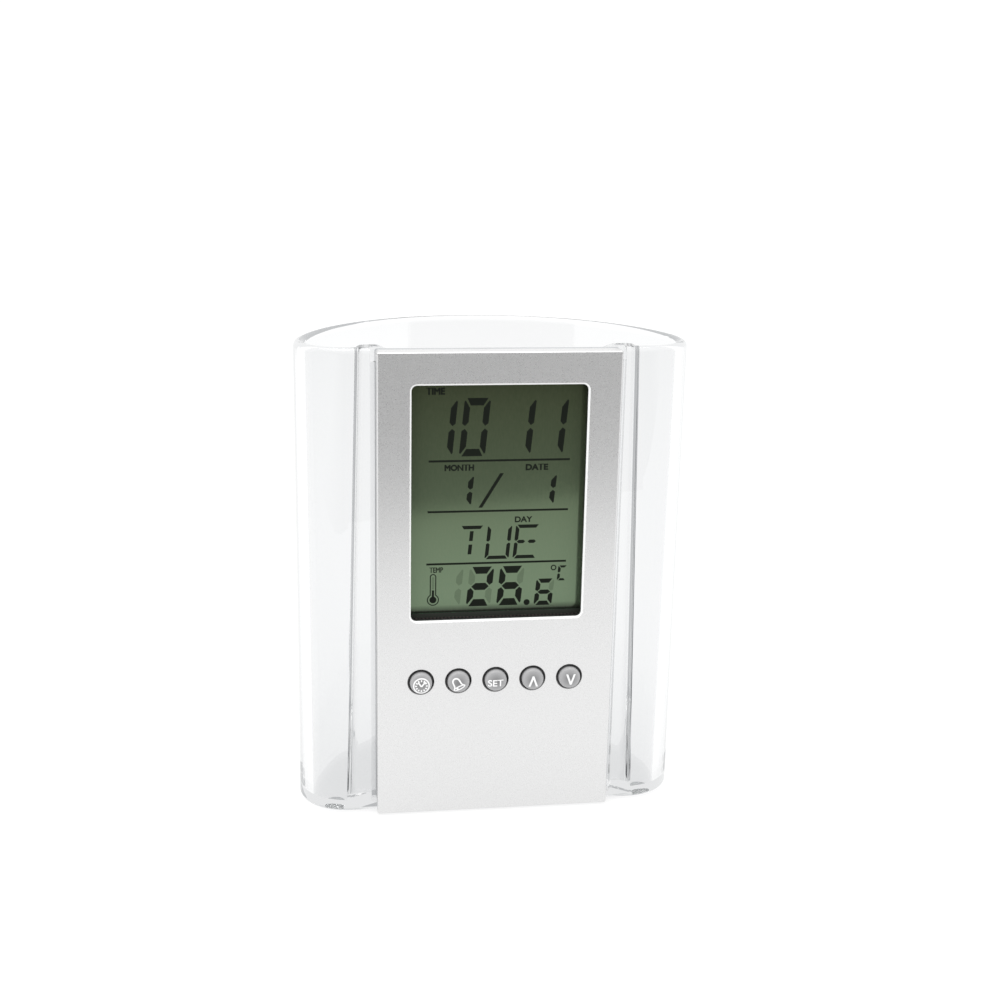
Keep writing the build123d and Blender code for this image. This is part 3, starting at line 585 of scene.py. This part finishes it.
# Painted shadow: the dark seal strip at the foot of the glass.
keep_single(figure_piece("display_seal_shadow", [seal_shadow_outline], seal_shadow_finish, figure_depth, figure_thickness,
                         "module"))
keep_single(figure_piece("display_ghosts", ghost_outlines, faint_crystal, figure_depth, figure_thickness,
                         "module"))

# Small plain words over each part of the display
word_rows = [("TIME", -16.8, 119.1, 1.65, 4.75, 0.12), ("MONTH", -10.3, 98.35, 1.5, 7.7, 0.12),
             ("DATE", 10.65, 98.2, 1.5, 5.9, 0.12), ("DAY", 7.35, 83.7, 1.5, 4.6, 0.08),
             ("TEMP", -16.25, 69.95, 1.4, 3.6, 0.05)]


def embolden(shape, boldness):
    """Moves the outline of flat letters outwards by a distance, as a bolder type has it."""
    bmesh.ops.remove_doubles(shape, verts=shape.verts, dist=0.001)
    sides = {}
    for edge in shape.edges:
        if len(edge.link_faces) == 1:
            loop = edge.link_loops[0]
            start, end = loop.vert, loop.link_loop_next.vert
            along = (end.co - start.co).normalized()
            facing = 1 if loop.face.normal.z > 0 else -1
            for vert in (start, end):
                sides.setdefault(vert, []).append(Vector((along.y, -along.x, 0)) * facing)
    for vert, outward in sides.items():
        if len(outward) == 2:
            vert.co += (outward[0] + outward[1]) * boldness / max(0.6, 1 + outward[0].dot(outward[1]))


def word_piece(name, words, material, depth, thickness, body):
    """Plain capitals as thin flat letters, each word fitted to its height, width and boldness."""
    whole = bmesh.new()
    for text, x, row, height, width, boldness in words:
        curve = bpy.data.curves.new(name, "FONT")
        curve.body = text
        holder = bpy.data.objects.new(name, curve)
        bpy.context.scene.collection.objects.link(holder)
        flat = bpy.data.meshes.new_from_object(holder.evaluated_get(bpy.context.evaluated_depsgraph_get()))
        bpy.data.objects.remove(holder)
        xs = [v.co.x for v in flat.vertices]
        ys = [v.co.y for v in flat.vertices]
        scale_x = width / (max(xs) - min(xs))
        scale_y = height / (max(ys) - min(ys))
        letters = bmesh.new()
        letters.from_mesh(flat)
        for v in letters.verts:
            across = x + (v.co.x - (max(xs) + min(xs)) / 2) * scale_x
            up = row + (v.co.y - (max(ys) + min(ys)) / 2) * scale_y
            v.co = (across, up, 0)
        letters.normal_update()
        embolden(letters, boldness)
        for v in letters.verts:
            v.co = face_place(v.co.x, v.co.y, depth)
        letters.to_mesh(flat)
        letters.free()
        whole.from_mesh(flat)
        bpy.data.meshes.remove(flat)
    grown = bmesh.ops.extrude_face_region(whole, geom=whole.faces[:])
    moved = [g for g in grown["geom"] if isinstance(g, bmesh.types.BMVert)]
    bmesh.ops.translate(whole, vec=(0, -thickness * mm, 0), verts=moved)
    bmesh.ops.recalc_face_normals(whole, faces=whole.faces)
    piece = new_piece(name, whole, material)
    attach(piece, body)
    return piece


keep_single(word_piece("display_words", word_rows, dark_crystal, figure_depth + figure_thickness,
                       figure_thickness, "module"))


# Reflector: a satin film behind the rear glass. It throws the light of the room back through the crystal,
# which gives the display its olive green ground. A painted reflection of the dim room deepens its tone
# towards the top, and a painted shadow darkens its lower edge.
film_shade_rows = (62.0, 119.0)
film_foot_shadow_rows = (57.7, 59.6)
film_base, film_top_reflection_shade, film_foot_shadow = (0.17, 0.235, 0.152), (0.09, 0.112, 0.062), (0.045, 0.055, 0.042)


def reflector_film():
    """Satin olive film, deeper in tone towards its top as a painted reflection, and along its lower edge as
    a painted shadow.
    """
    material, tree, shader, place = start_finish("reflector_film")
    fibre = add_noise(tree, place, 0.5 * mm, 4.0, (1, 1, 0.3))
    split = add_split(tree, place)
    # Painted reflection of the dim room: the tone deepens towards the top.
    shade_low = face_place(0, film_shade_rows[0], 0).z
    shade_high = face_place(0, film_shade_rows[1], 0).z
    rise = add_range(tree, split.outputs["Z"], shade_low, shade_high)
    ground = add_mix(tree, rise, film_base, film_top_reflection_shade)
    # Painted shadow along the film's lower edge, under the window's foot wall.
    edge_low = face_place(0, film_foot_shadow_rows[0], 0).z
    edge_high = face_place(0, film_foot_shadow_rows[1], 0).z
    clear_of_foot_shadow = add_range(tree, split.outputs["Z"], edge_low, edge_high)
    shaded = add_mix(tree, clear_of_foot_shadow, film_foot_shadow, ground)
    grained = add_mix(tree, add_range(tree, fibre, 0.3, 0.7, 0.0, 0.06), shaded, (0.3, 0.3, 0.2))
    tree.links.new(grained, shader.inputs["Base Color"])
    tree.links.new(add_range(tree, fibre, 0.3, 0.7, 0.08, 0.11), shader.inputs["Roughness"])
    add_bump(tree, shader, fibre, 0.004 * mm)
    shader.inputs["Metallic"].default_value = 0.6
    shader.inputs["Specular IOR Level"].default_value = 0.0
    return material


dress(["lcd_reflector"], reflector_film())


# Glass frame and contact strip: a dark moulded frame holds the glass on the board, and a rubber strip with
# carbon stripes joins the glass's foot to the board.
frame_finish = moulded_plastic("dark_frame", (0.03, 0.03, 0.032), (0.05, 0.05, 0.052), 0.3, 0.01, 0.45)
dress(["lcd_frame"], frame_finish)


def striped_rubber():
    """Rubber with fine black stripes across its length."""
    material, tree, shader, place = start_finish("striped_rubber")
    wave = tree.nodes.new("ShaderNodeTexWave")
    wave.inputs["Scale"].default_value = 1 / (3.2 * mm)
    tree.links.new(place, wave.inputs["Vector"])
    tree.links.new(add_mix(tree, wave.outputs["Fac"], (0.02, 0.02, 0.02), (0.07, 0.055, 0.05)),
                   shader.inputs["Base Color"])
    shader.inputs["Roughness"].default_value = 0.7
    return material


dress(["zebra_strip"], striped_rubber())


# Circuit board: green lacquered laminate with tinned pads. Its screws, chip drop, crystal can, capacitors
# and temperature sensor are soldered or glued to it.
def board_lacquer():
    """Green solder lacquer over a copper pattern that shows as lighter runs."""
    material, tree, shader, place = start_finish("board_lacquer")
    runs = tree.nodes.new("ShaderNodeTexBrick")
    runs.inputs["Scale"].default_value = 1 / (9 * mm)
    runs.inputs["Mortar Size"].default_value = 0.06
    turned = tree.nodes.new("ShaderNodeMapping")
    turned.inputs["Rotation"].default_value = (math.radians(90), 0, 0)
    tree.links.new(place, turned.inputs["Vector"])
    tree.links.new(turned.outputs["Vector"], runs.inputs["Vector"])
    green = add_mix(tree, runs.outputs["Fac"], (0.015, 0.10, 0.04), (0.04, 0.20, 0.08))
    tree.links.new(green, shader.inputs["Base Color"])
    shader.inputs["Roughness"].default_value = 0.3
    add_bump(tree, shader, runs.outputs["Fac"], 0.03 * mm)
    return material


def plated_metal(name, dark, light, roughness, grain=(1, 1, 1)):
    """Plated or rolled metal with a fine grain."""
    material, tree, shader, place = start_finish(name)
    lines = add_noise(tree, place, 0.5 * mm, 4.0, grain)
    dulled = add_range(tree, lines, 0.3, 0.7, roughness - 0.07, roughness + 0.07)
    tree.links.new(add_mix(tree, lines, dark, light), shader.inputs["Base Color"])
    tree.links.new(dulled, shader.inputs["Roughness"])
    add_bump(tree, shader, lines, 0.008 * mm)
    shader.inputs["Metallic"].default_value = 1.0
    return material


dress(["circuit_board"], board_lacquer())
screw_finish = plated_metal("zinc_plate", (0.58, 0.59, 0.60), (0.70, 0.71, 0.72), 0.3)
dress(["board_screws", "crystal"], screw_finish)
resin_finish = moulded_plastic("black_resin", (0.012, 0.012, 0.013), (0.02, 0.02, 0.022), 1.5, 0.02, 0.22)
dress(["chip_blob", "thermistor"], resin_finish)
ceramic_finish = moulded_plastic("fired_ceramic", (0.55, 0.48, 0.38), (0.64, 0.58, 0.48), 0.4, 0.01, 0.5)
dress(["board_capacitors", "buzzer_ceramic"], ceramic_finish)


# Keypad and buttons: five moulded satin grey caps stand a little proud in the cover's holes, over a rubber
# sheet whose domes push them back. Each carries a white print: a clock, a bell, a plain word and two arrows.
keypad_finish = moulded_plastic("keypad_rubber", (0.30, 0.31, 0.32), (0.36, 0.37, 0.38), 0.5, 0.02, 0.65)
dress(["keypad_sheet"], keypad_finish)
button_names = ("mode_button", "alarm_button", "set_button", "up_button", "down_button")
cap_radius, cap_proud, cap_crown, cap_edge = 3.0, 1.74, 0.42, 0.8
# Painted shade on the caps: the middle of each face is darker, its rim lighter, and its side in a painted
# shadow.
cap_middle_shade, cap_rim_highlight, cap_side_shadow = (0.19, 0.19, 0.194), (0.44, 0.44, 0.445), (0.11, 0.11, 0.113)


def satin_cap():
    """Satin grey plastic with painted shade: darker towards the middle of each cap's face, lighter at its
    rim, and a painted shadow on its side, where it sits in the hole.
    """
    material, tree, shader, place = start_finish("button_grey")
    grain = add_noise(tree, place, 0.25 * mm, 3.0)
    split = add_split(tree, place)
    outward = add_range(tree, distance_to_button(tree, split), 0.5 * mm, cap_radius * mm)
    face = add_mix(tree, outward, cap_middle_shade, cap_rim_highlight)
    inward = add_range(tree, split.outputs["Y"], face_y - 0.5 * mm, face_y + 0.1 * mm)
    shade = add_mix(tree, inward, face, cap_side_shadow)
    tree.links.new(add_mix(tree, add_range(tree, grain, 0.3, 0.7, 0.0, 0.08), shade, (0.4, 0.4, 0.4)),
                   shader.inputs["Base Color"])
    tree.links.new(add_range(tree, grain, 0.3, 0.7, 0.3, 0.42), shader.inputs["Roughness"])
    add_bump(tree, shader, grain, 0.008 * mm)
    return material


button_finish = satin_cap()
flange_radius, flange_front, flange_back = 4.1, 1.62, 2.2
stem_radius = 2.0
around, dome_steps, edge_steps = 64, 5, 6
button_marks = {}


def crown_drop(out):
    """Fall of the domed face at a distance from its middle, in millimetres."""
    return cap_crown * (out / cap_radius) ** 2


def cap_drop(out):
    """Fall of the cap at a distance from its middle, with its rounded edge, in millimetres."""
    flat_edge = cap_radius - cap_edge
    past = min(max(0.0, out - flat_edge), 0.98 * cap_edge)
    return crown_drop(min(out, flat_edge)) + cap_edge - math.sqrt(cap_edge ** 2 - past ** 2)


def button_profile(back):
    """Half section of a button: distance from its axis, and depth behind the cover's face."""
    flat_edge = cap_radius - cap_edge
    section = []
    for i in range(1, dome_steps + 1):
        out = flat_edge * i / dome_steps
        section.append((out, crown_drop(out) - cap_proud))
    edge_depth = crown_drop(flat_edge) - cap_proud
    for i in range(1, edge_steps + 1):
        turn = math.pi / 2 * i / edge_steps
        section.append((flat_edge + cap_edge * math.sin(turn), edge_depth + cap_edge * (1 - math.cos(turn))))
    section += [(cap_radius, flange_front), (flange_radius, flange_front), (flange_radius, flange_back),
                (stem_radius, flange_back), (stem_radius, back)]
    return section


for name in button_names:
    button_low, button_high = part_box(name)
    middle = (button_low.x + button_high.x) / 2 / mm
    button_marks[name] = middle
    shape = bmesh.new()
    rings = []
    section = button_profile((button_high.y - face_y) / mm)
    for out, depth in section:
        ring = []
        for i in range(around):
            turn = 2 * math.pi * i / around
            x, row = middle + out * math.cos(turn), button_row + out * math.sin(turn)
            ring.append(shape.verts.new(face_place(x, row, depth)))
        rings.append(ring)
    for inner, outer in zip(rings, rings[1:]):
        for i in range(around):
            j = (i + 1) % around
            shape.faces.new((inner[i], inner[j], outer[j], outer[i]))
    peak = shape.verts.new(face_place(middle, button_row, -cap_proud))
    for i in range(around):
        shape.faces.new((peak, rings[0][(i + 1) % around], rings[0][i]))
    shape.faces.new(rings[-1])
    bmesh.ops.recalc_face_normals(shape, faces=shape.faces)
    for face in shape.faces[:around * (dome_steps + edge_steps)]:
        face.smooth = True
    cap = new_piece(name + "_cap", shape, button_finish)
    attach(cap, name)
    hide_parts(name)

# White prints, laid on the domed faces
print_thickness = 0.09


def white_print():
    """White ink, slightly uneven where the screen laid it."""
    material, tree, shader, place = start_finish("white_print")
    patch = add_noise(tree, place, 0.3 * mm, 3.0)
    tree.links.new(add_mix(tree, patch, (0.88, 0.88, 0.88), (0.96, 0.96, 0.96)), shader.inputs["Base Color"])
    shader.inputs["Roughness"].default_value = 0.45
    return material


print_finish = white_print()
print_drop = 0.45
print_row = button_row - print_drop
longest_edge, edge_cuts = 0.5, 4


def lay_on_cap(piece, name):
    """Lays a flat print on the domed face of its button, divided finely enough to follow it."""
    shape = bmesh.new()
    shape.from_mesh(piece.data)
    long_edges = [edge for edge in shape.edges if edge.calc_length() > longest_edge * mm]
    bmesh.ops.subdivide_edges(shape, edges=long_edges, cuts=edge_cuts)
    bmesh.ops.triangulate(shape, faces=[face for face in shape.faces if len(face.verts) > 4])
    for v in shape.verts:
        out = math.hypot(v.co.x / mm - button_marks[name], v.co.z / mm - foot_height - button_row)
        v.co.y += cap_drop(out) * mm
    shape.to_mesh(piece.data)
    shape.free()


def print_on(name, outlines, rings=()):
    """Print on one button's face."""
    printed = figure_piece(name + "_print", outlines, print_finish, -cap_proud - print_thickness,
                           print_thickness, name, rings)
    lay_on_cap(printed, name)


# Clock face with ticks and two hands
clock_x = button_marks["mode_button"]
clock_radius, clock_stroke = 2.3, 0.36
tick_outer, tick_inner, tick_stroke = 1.74, 1.2, 0.34
hands, hand_stroke, hands_drop = ((1.4, -40), (1.6, 43)), 0.42, 0.2
clock_marks = []
for i in range(12):
    turn = math.radians(30 * i)
    start = (clock_x + tick_inner * math.sin(turn), print_row + tick_inner * math.cos(turn))
    end = (clock_x + tick_outer * math.sin(turn), print_row + tick_outer * math.cos(turn))
    clock_marks.append(bar_between(start, end, tick_stroke))
for length, degrees in hands:
    turn = math.radians(degrees)
    tip = (clock_x + length * math.sin(turn), print_row + length * math.cos(turn))
    clock_marks.append(bar_between((clock_x, print_row - hands_drop), tip, hand_stroke))
clock_rim = [(circle(clock_x, print_row, clock_radius),
              circle(clock_x, print_row, clock_radius - clock_stroke))]
print_on("mode_button", clock_marks, clock_rim)

# Bell, drawn as a line round its body and its open mouth, tilted to the right
bell_x, bell_row = button_marks["alarm_button"] - 0.45, print_row + 0.2
bell_tilt, bell_stroke = math.radians(27), 0.42
crown_radius, crown_row, waist_half, waist_row, foot_half = 1.15, 0.7, 1.25, -0.5, 1.75
mouth_row, mouth_half, mouth_rise, mouth_stroke = -1.3, 1.8, 0.58, 0.32
clapper_x, clapper_radius = -0.6, 0.3


def bell_tilted(points):
    """Points of the upright bell, tilted and put in its place."""
    return [(bell_x + x * math.cos(bell_tilt) - y * math.sin(bell_tilt),
             bell_row + x * math.sin(bell_tilt) + y * math.cos(bell_tilt)) for x, y in points]


def bell_body(inset):
    """Line from one foot of the bell over its crown to the other, drawn in by a distance."""
    crown = crown_radius - inset
    turns = [math.pi * i / 12 for i in range(13)]
    over = [(-crown * math.cos(a), crown_row + crown * math.sin(a)) for a in turns]
    left_side = [(-foot_half + inset, mouth_row), (-waist_half + inset, waist_row)]
    right_side = [(waist_half - inset, waist_row), (foot_half - inset, mouth_row)]
    return left_side + over + right_side


def bell_mouth(inset):
    """Ellipse of the bell's open mouth, drawn in by a distance."""
    return [(x * (mouth_half - inset), mouth_row + y * (mouth_rise - inset)) for x, y in circle(0, 0, 1, 32)]


bell_line = bell_tilted(bell_body(0) + bell_body(bell_stroke)[::-1])
bell_clapper = bell_tilted(circle(clapper_x, mouth_row, clapper_radius, 20))
print_on("alarm_button", [bell_line, bell_clapper],
         [(bell_tilted(bell_mouth(0)), bell_tilted(bell_mouth(mouth_stroke)))])

# Plain word on the middle button
set_marks = [("SET", button_marks["set_button"] - 0.15, print_row, 1.85, 4.2, 0.05)]
set_word = word_piece("set_button_print", set_marks, print_finish, -cap_proud, print_thickness, "set_button")
lay_on_cap(set_word, "set_button")

# Arrows up and down
arrow_half, arrow_height, arrow_stroke, arrow_tip = 1.05, 3.05, 0.56, 0.24


def arrow(centre, row, way):
    """Open arrow head as one outline, pointing up or down."""
    outer, inner = arrow_half + arrow_stroke / 2, arrow_half - arrow_stroke / 2
    notch = inner / (outer - arrow_tip) * arrow_height
    half_height = arrow_height / 2
    points = [(-outer, -half_height), (-inner, -half_height), (0, notch - half_height),
              (inner, -half_height), (outer, -half_height), (arrow_tip, half_height),
              (-arrow_tip, half_height)]
    return [(centre + x, row + way * y) for x, y in points]


print_on("up_button", [arrow(button_marks["up_button"], print_row + 0.05, 1)])
print_on("down_button", [arrow(button_marks["down_button"] + 0.2, print_row + 0.2, -1)])


# Cell and contacts: a plated steel coin cell in its well. Two stamped strips of plated spring steel press
# on it, one on its cap and one on its side.
cell_finish = plated_metal("nickel_plate", (0.66, 0.66, 0.65), (0.78, 0.78, 0.77), 0.24)
dress(["button_cell", "negative_contact", "positive_contact"], cell_finish)


# Buzzer: a thin plate punched from rolled brass and glued into the housing's ring, with the fired ceramic
# wafer on it. Two insulated leads are soldered to it and to the board.
brass_finish = plated_metal("rolled_brass", (0.62, 0.46, 0.20), (0.74, 0.58, 0.28), 0.3, (1, 1, 0.1))
dress(["buzzer_plate"], brass_finish)
lead_finish = moulded_plastic("lead_insulation", (0.42, 0.03, 0.025), (0.50, 0.05, 0.04), 0.4, 0.01, 0.4)
dress(["buzzer_leads"], lead_finish)


# Housing screws: six small pan-head screws of zinc plated steel. They stand in wells on the module's back
# and draw the housing to the front cover.
dress(["housing_screws"], screw_finish)


# Floor: a plain white sheet on the table, lit softly from below. It stays outside the object. Past its front
# edge lies a grey card that only shiny surfaces mirror, as the silver face mirrors the table before it.
# Light that has passed through the cup doesn't tell the card from the sheet.
def matt_sheet(name, dark, light, glow):
    """Matt sheet, faintly cloudy, lit softly from below."""
    material, tree, shader, place = start_finish(name)
    cloud = add_noise(tree, place, 0.4)
    tree.links.new(add_mix(tree, cloud, dark, light), shader.inputs["Base Color"])
    shader.inputs["Emission Color"].default_value = (glow, glow, glow, 1.0)
    shader.inputs["Emission Strength"].default_value = 1.0
    shader.inputs["Roughness"].default_value = 0.8
    shader.inputs["Specular IOR Level"].default_value = 0.0
    material.cycles.emission_sampling = "NONE"
    return material


def flat_stage(name, corners, material):
    """Flat stage surface from its corners in metres."""
    mesh = bpy.data.meshes.new(name)
    mesh.from_pydata(corners, [], [tuple(range(len(corners)))])
    mesh.materials.append(material)
    surface = bpy.data.objects.new(name, mesh)
    bpy.context.scene.collection.objects.link(surface)
    return surface


floor_half = 4.0
floor_glow = 0.74
floor_grey = (0.3, 0.3, 0.3)
floor_finish = matt_sheet("pale_floor", (0.29, 0.29, 0.29), (0.31, 0.31, 0.31), floor_glow)
flat_stage("pale_floor", [(-floor_half, -floor_half, 0), (floor_half, -floor_half, 0),
                          (floor_half, floor_half, 0), (-floor_half, floor_half, 0)], floor_finish)
card_left, card_right, card_far, card_rise, card_fade = -0.35, 0.55, -1.5, 0.0002, 0.25
card_left_near, card_right_near = -0.2158, -0.5011
card_glow = 0.165
card_finish = matt_sheet("grey_card", (0.095, 0.095, 0.095), (0.105, 0.105, 0.105), card_glow)
card_tree = card_finish.node_tree
card_shader = card_tree.nodes["Principled BSDF"]
card_path = card_tree.nodes.new("ShaderNodeLightPath")
passed_glass = add_math(card_tree, "GREATER_THAN", card_path.outputs["Transmission Depth"], 0.5)
card_place = add_split(card_tree, card_tree.nodes.new("ShaderNodeTexCoord").outputs["Object"])
left_fade = add_range(card_tree, card_place.outputs["X"], card_left + card_fade, card_left)
right_fade = add_range(card_tree, card_place.outputs["X"], card_right - card_fade, card_right)
far_fade = add_range(card_tree, card_place.outputs["Y"], card_far + card_fade, card_far)
faded = add_math(card_tree, "MAXIMUM", add_math(card_tree, "MAXIMUM", left_fade, right_fade), far_fade)
as_floor = add_math(card_tree, "MAXIMUM", faded, passed_glass)
card_grey = card_shader.inputs["Base Color"].links[0].from_socket
card_tree.links.new(add_mix(card_tree, as_floor, card_grey, floor_grey), card_shader.inputs["Base Color"])
card_tree.links.new(add_range(card_tree, as_floor, 0.0, 1.0, 1.0, floor_glow / card_glow),
                    card_shader.inputs["Emission Strength"])
grey_card = flat_stage("grey_card", [(card_left, card_far, card_rise), (card_right, card_far, card_rise),
                                     (card_right, card_right_near, card_rise),
                                     (card_left, card_left_near, card_rise)], card_finish)
grey_card.visible_camera = False
grey_card.visible_diffuse = False
grey_card.visible_transmission = False
grey_card.visible_shadow = False


# Light: a bright even room and a large soft box overhead, as in a plain studio. What shiny surfaces
# mirror of the room is grey low in front.
world = bpy.data.worlds.new("soft_room")
bpy.context.scene.world = world
world.use_nodes = True
world_tree = world.node_tree
room = world_tree.nodes["Background"]
parts = add_split(world_tree, world_tree.nodes.new("ShaderNodeTexCoord").outputs["Generated"])
front_part = add_range(world_tree, parts.outputs["Y"], -0.15, -0.5)
low_part = add_range(world_tree, parts.outputs["Z"], 0.6, 0.2)
grey_part = add_math(world_tree, "MULTIPLY", front_part, low_part)
mirrored = add_mix(world_tree, grey_part, (1.0, 1.0, 1.0), (0.36, 0.36, 0.36))
room_path = world_tree.nodes.new("ShaderNodeLightPath")
direct = add_math(world_tree, "LESS_THAN", room_path.outputs["Transmission Depth"], 0.5)
shiny = add_math(world_tree, "MULTIPLY", room_path.outputs["Is Glossy Ray"], direct)
room_colour = add_mix(world_tree, shiny, (1.0, 1.0, 1.0), mirrored)
world_tree.links.new(room_colour, room.inputs["Color"])
room.inputs["Strength"].default_value = 1.06
world.cycles.sampling_method = "NONE"


def soft_box(name, place, aim, width, height, power):
    """Rectangular soft light at a place, aimed at a point, all in metres."""
    data = bpy.data.lights.new(name, "AREA")
    data.shape = "RECTANGLE"
    data.size, data.size_y, data.energy = width, height, power
    light = bpy.data.objects.new(name, data)
    light.location = place
    light.rotation_euler = (Vector(aim) - Vector(place)).to_track_quat("-Z", "Y").to_euler()
    bpy.context.scene.collection.objects.link(light)
    return light


soft_box("overhead_box", (-0.15, -0.1, 1.1), (0, 0.05, 0), 0.9, 0.9, 6.0)
light_paths = 24
bpy.context.scene.cycles.max_bounces = light_paths
bpy.context.scene.cycles.glossy_bounces = light_paths
bpy.context.scene.cycles.transmission_bounces = light_paths
bpy.context.scene.cycles.transparent_max_bounces = light_paths
kept_paths = 12
bpy.context.scene.cycles.min_light_bounces = kept_paths
bpy.context.scene.cycles.min_transparent_bounces = kept_paths


# Camera: a fixed lens about 0.4 metres before the object, above its rim and a little to the left of the
# middle, turned slightly down and to the right.
focal_pixels = 1500.8
picture_pixels = 1000
sensor_mm = 36.0
camera_place = Vector((-59.0, -411.8, 196.0)) * mm
pitch, yaw, roll = (math.radians(angle) for angle in (15.287, 8.848, 1.128))
forward = Vector((math.sin(yaw) * math.cos(pitch), math.cos(yaw) * math.cos(pitch), -math.sin(pitch)))
level = Vector((math.cos(yaw), -math.sin(yaw), 0.0))
upright = level.cross(forward)
right = level * math.cos(roll) + upright * math.sin(roll)
up = upright * math.cos(roll) - level * math.sin(roll)
lens = bpy.data.cameras.new("camera")
lens.sensor_width = sensor_mm
lens.lens = focal_pixels / picture_pixels * sensor_mm
lens.clip_start = 0.01
lens.clip_end = 20.0
camera = bpy.data.objects.new("camera", lens)
turned = Matrix((right, up, -forward)).transposed().to_4x4()
camera.matrix_world = Matrix.Translation(camera_place) @ turned
bpy.context.scene.collection.objects.link(camera)
bpy.context.scene.camera = camera
bpy.context.scene.view_settings.view_transform = "Standard"
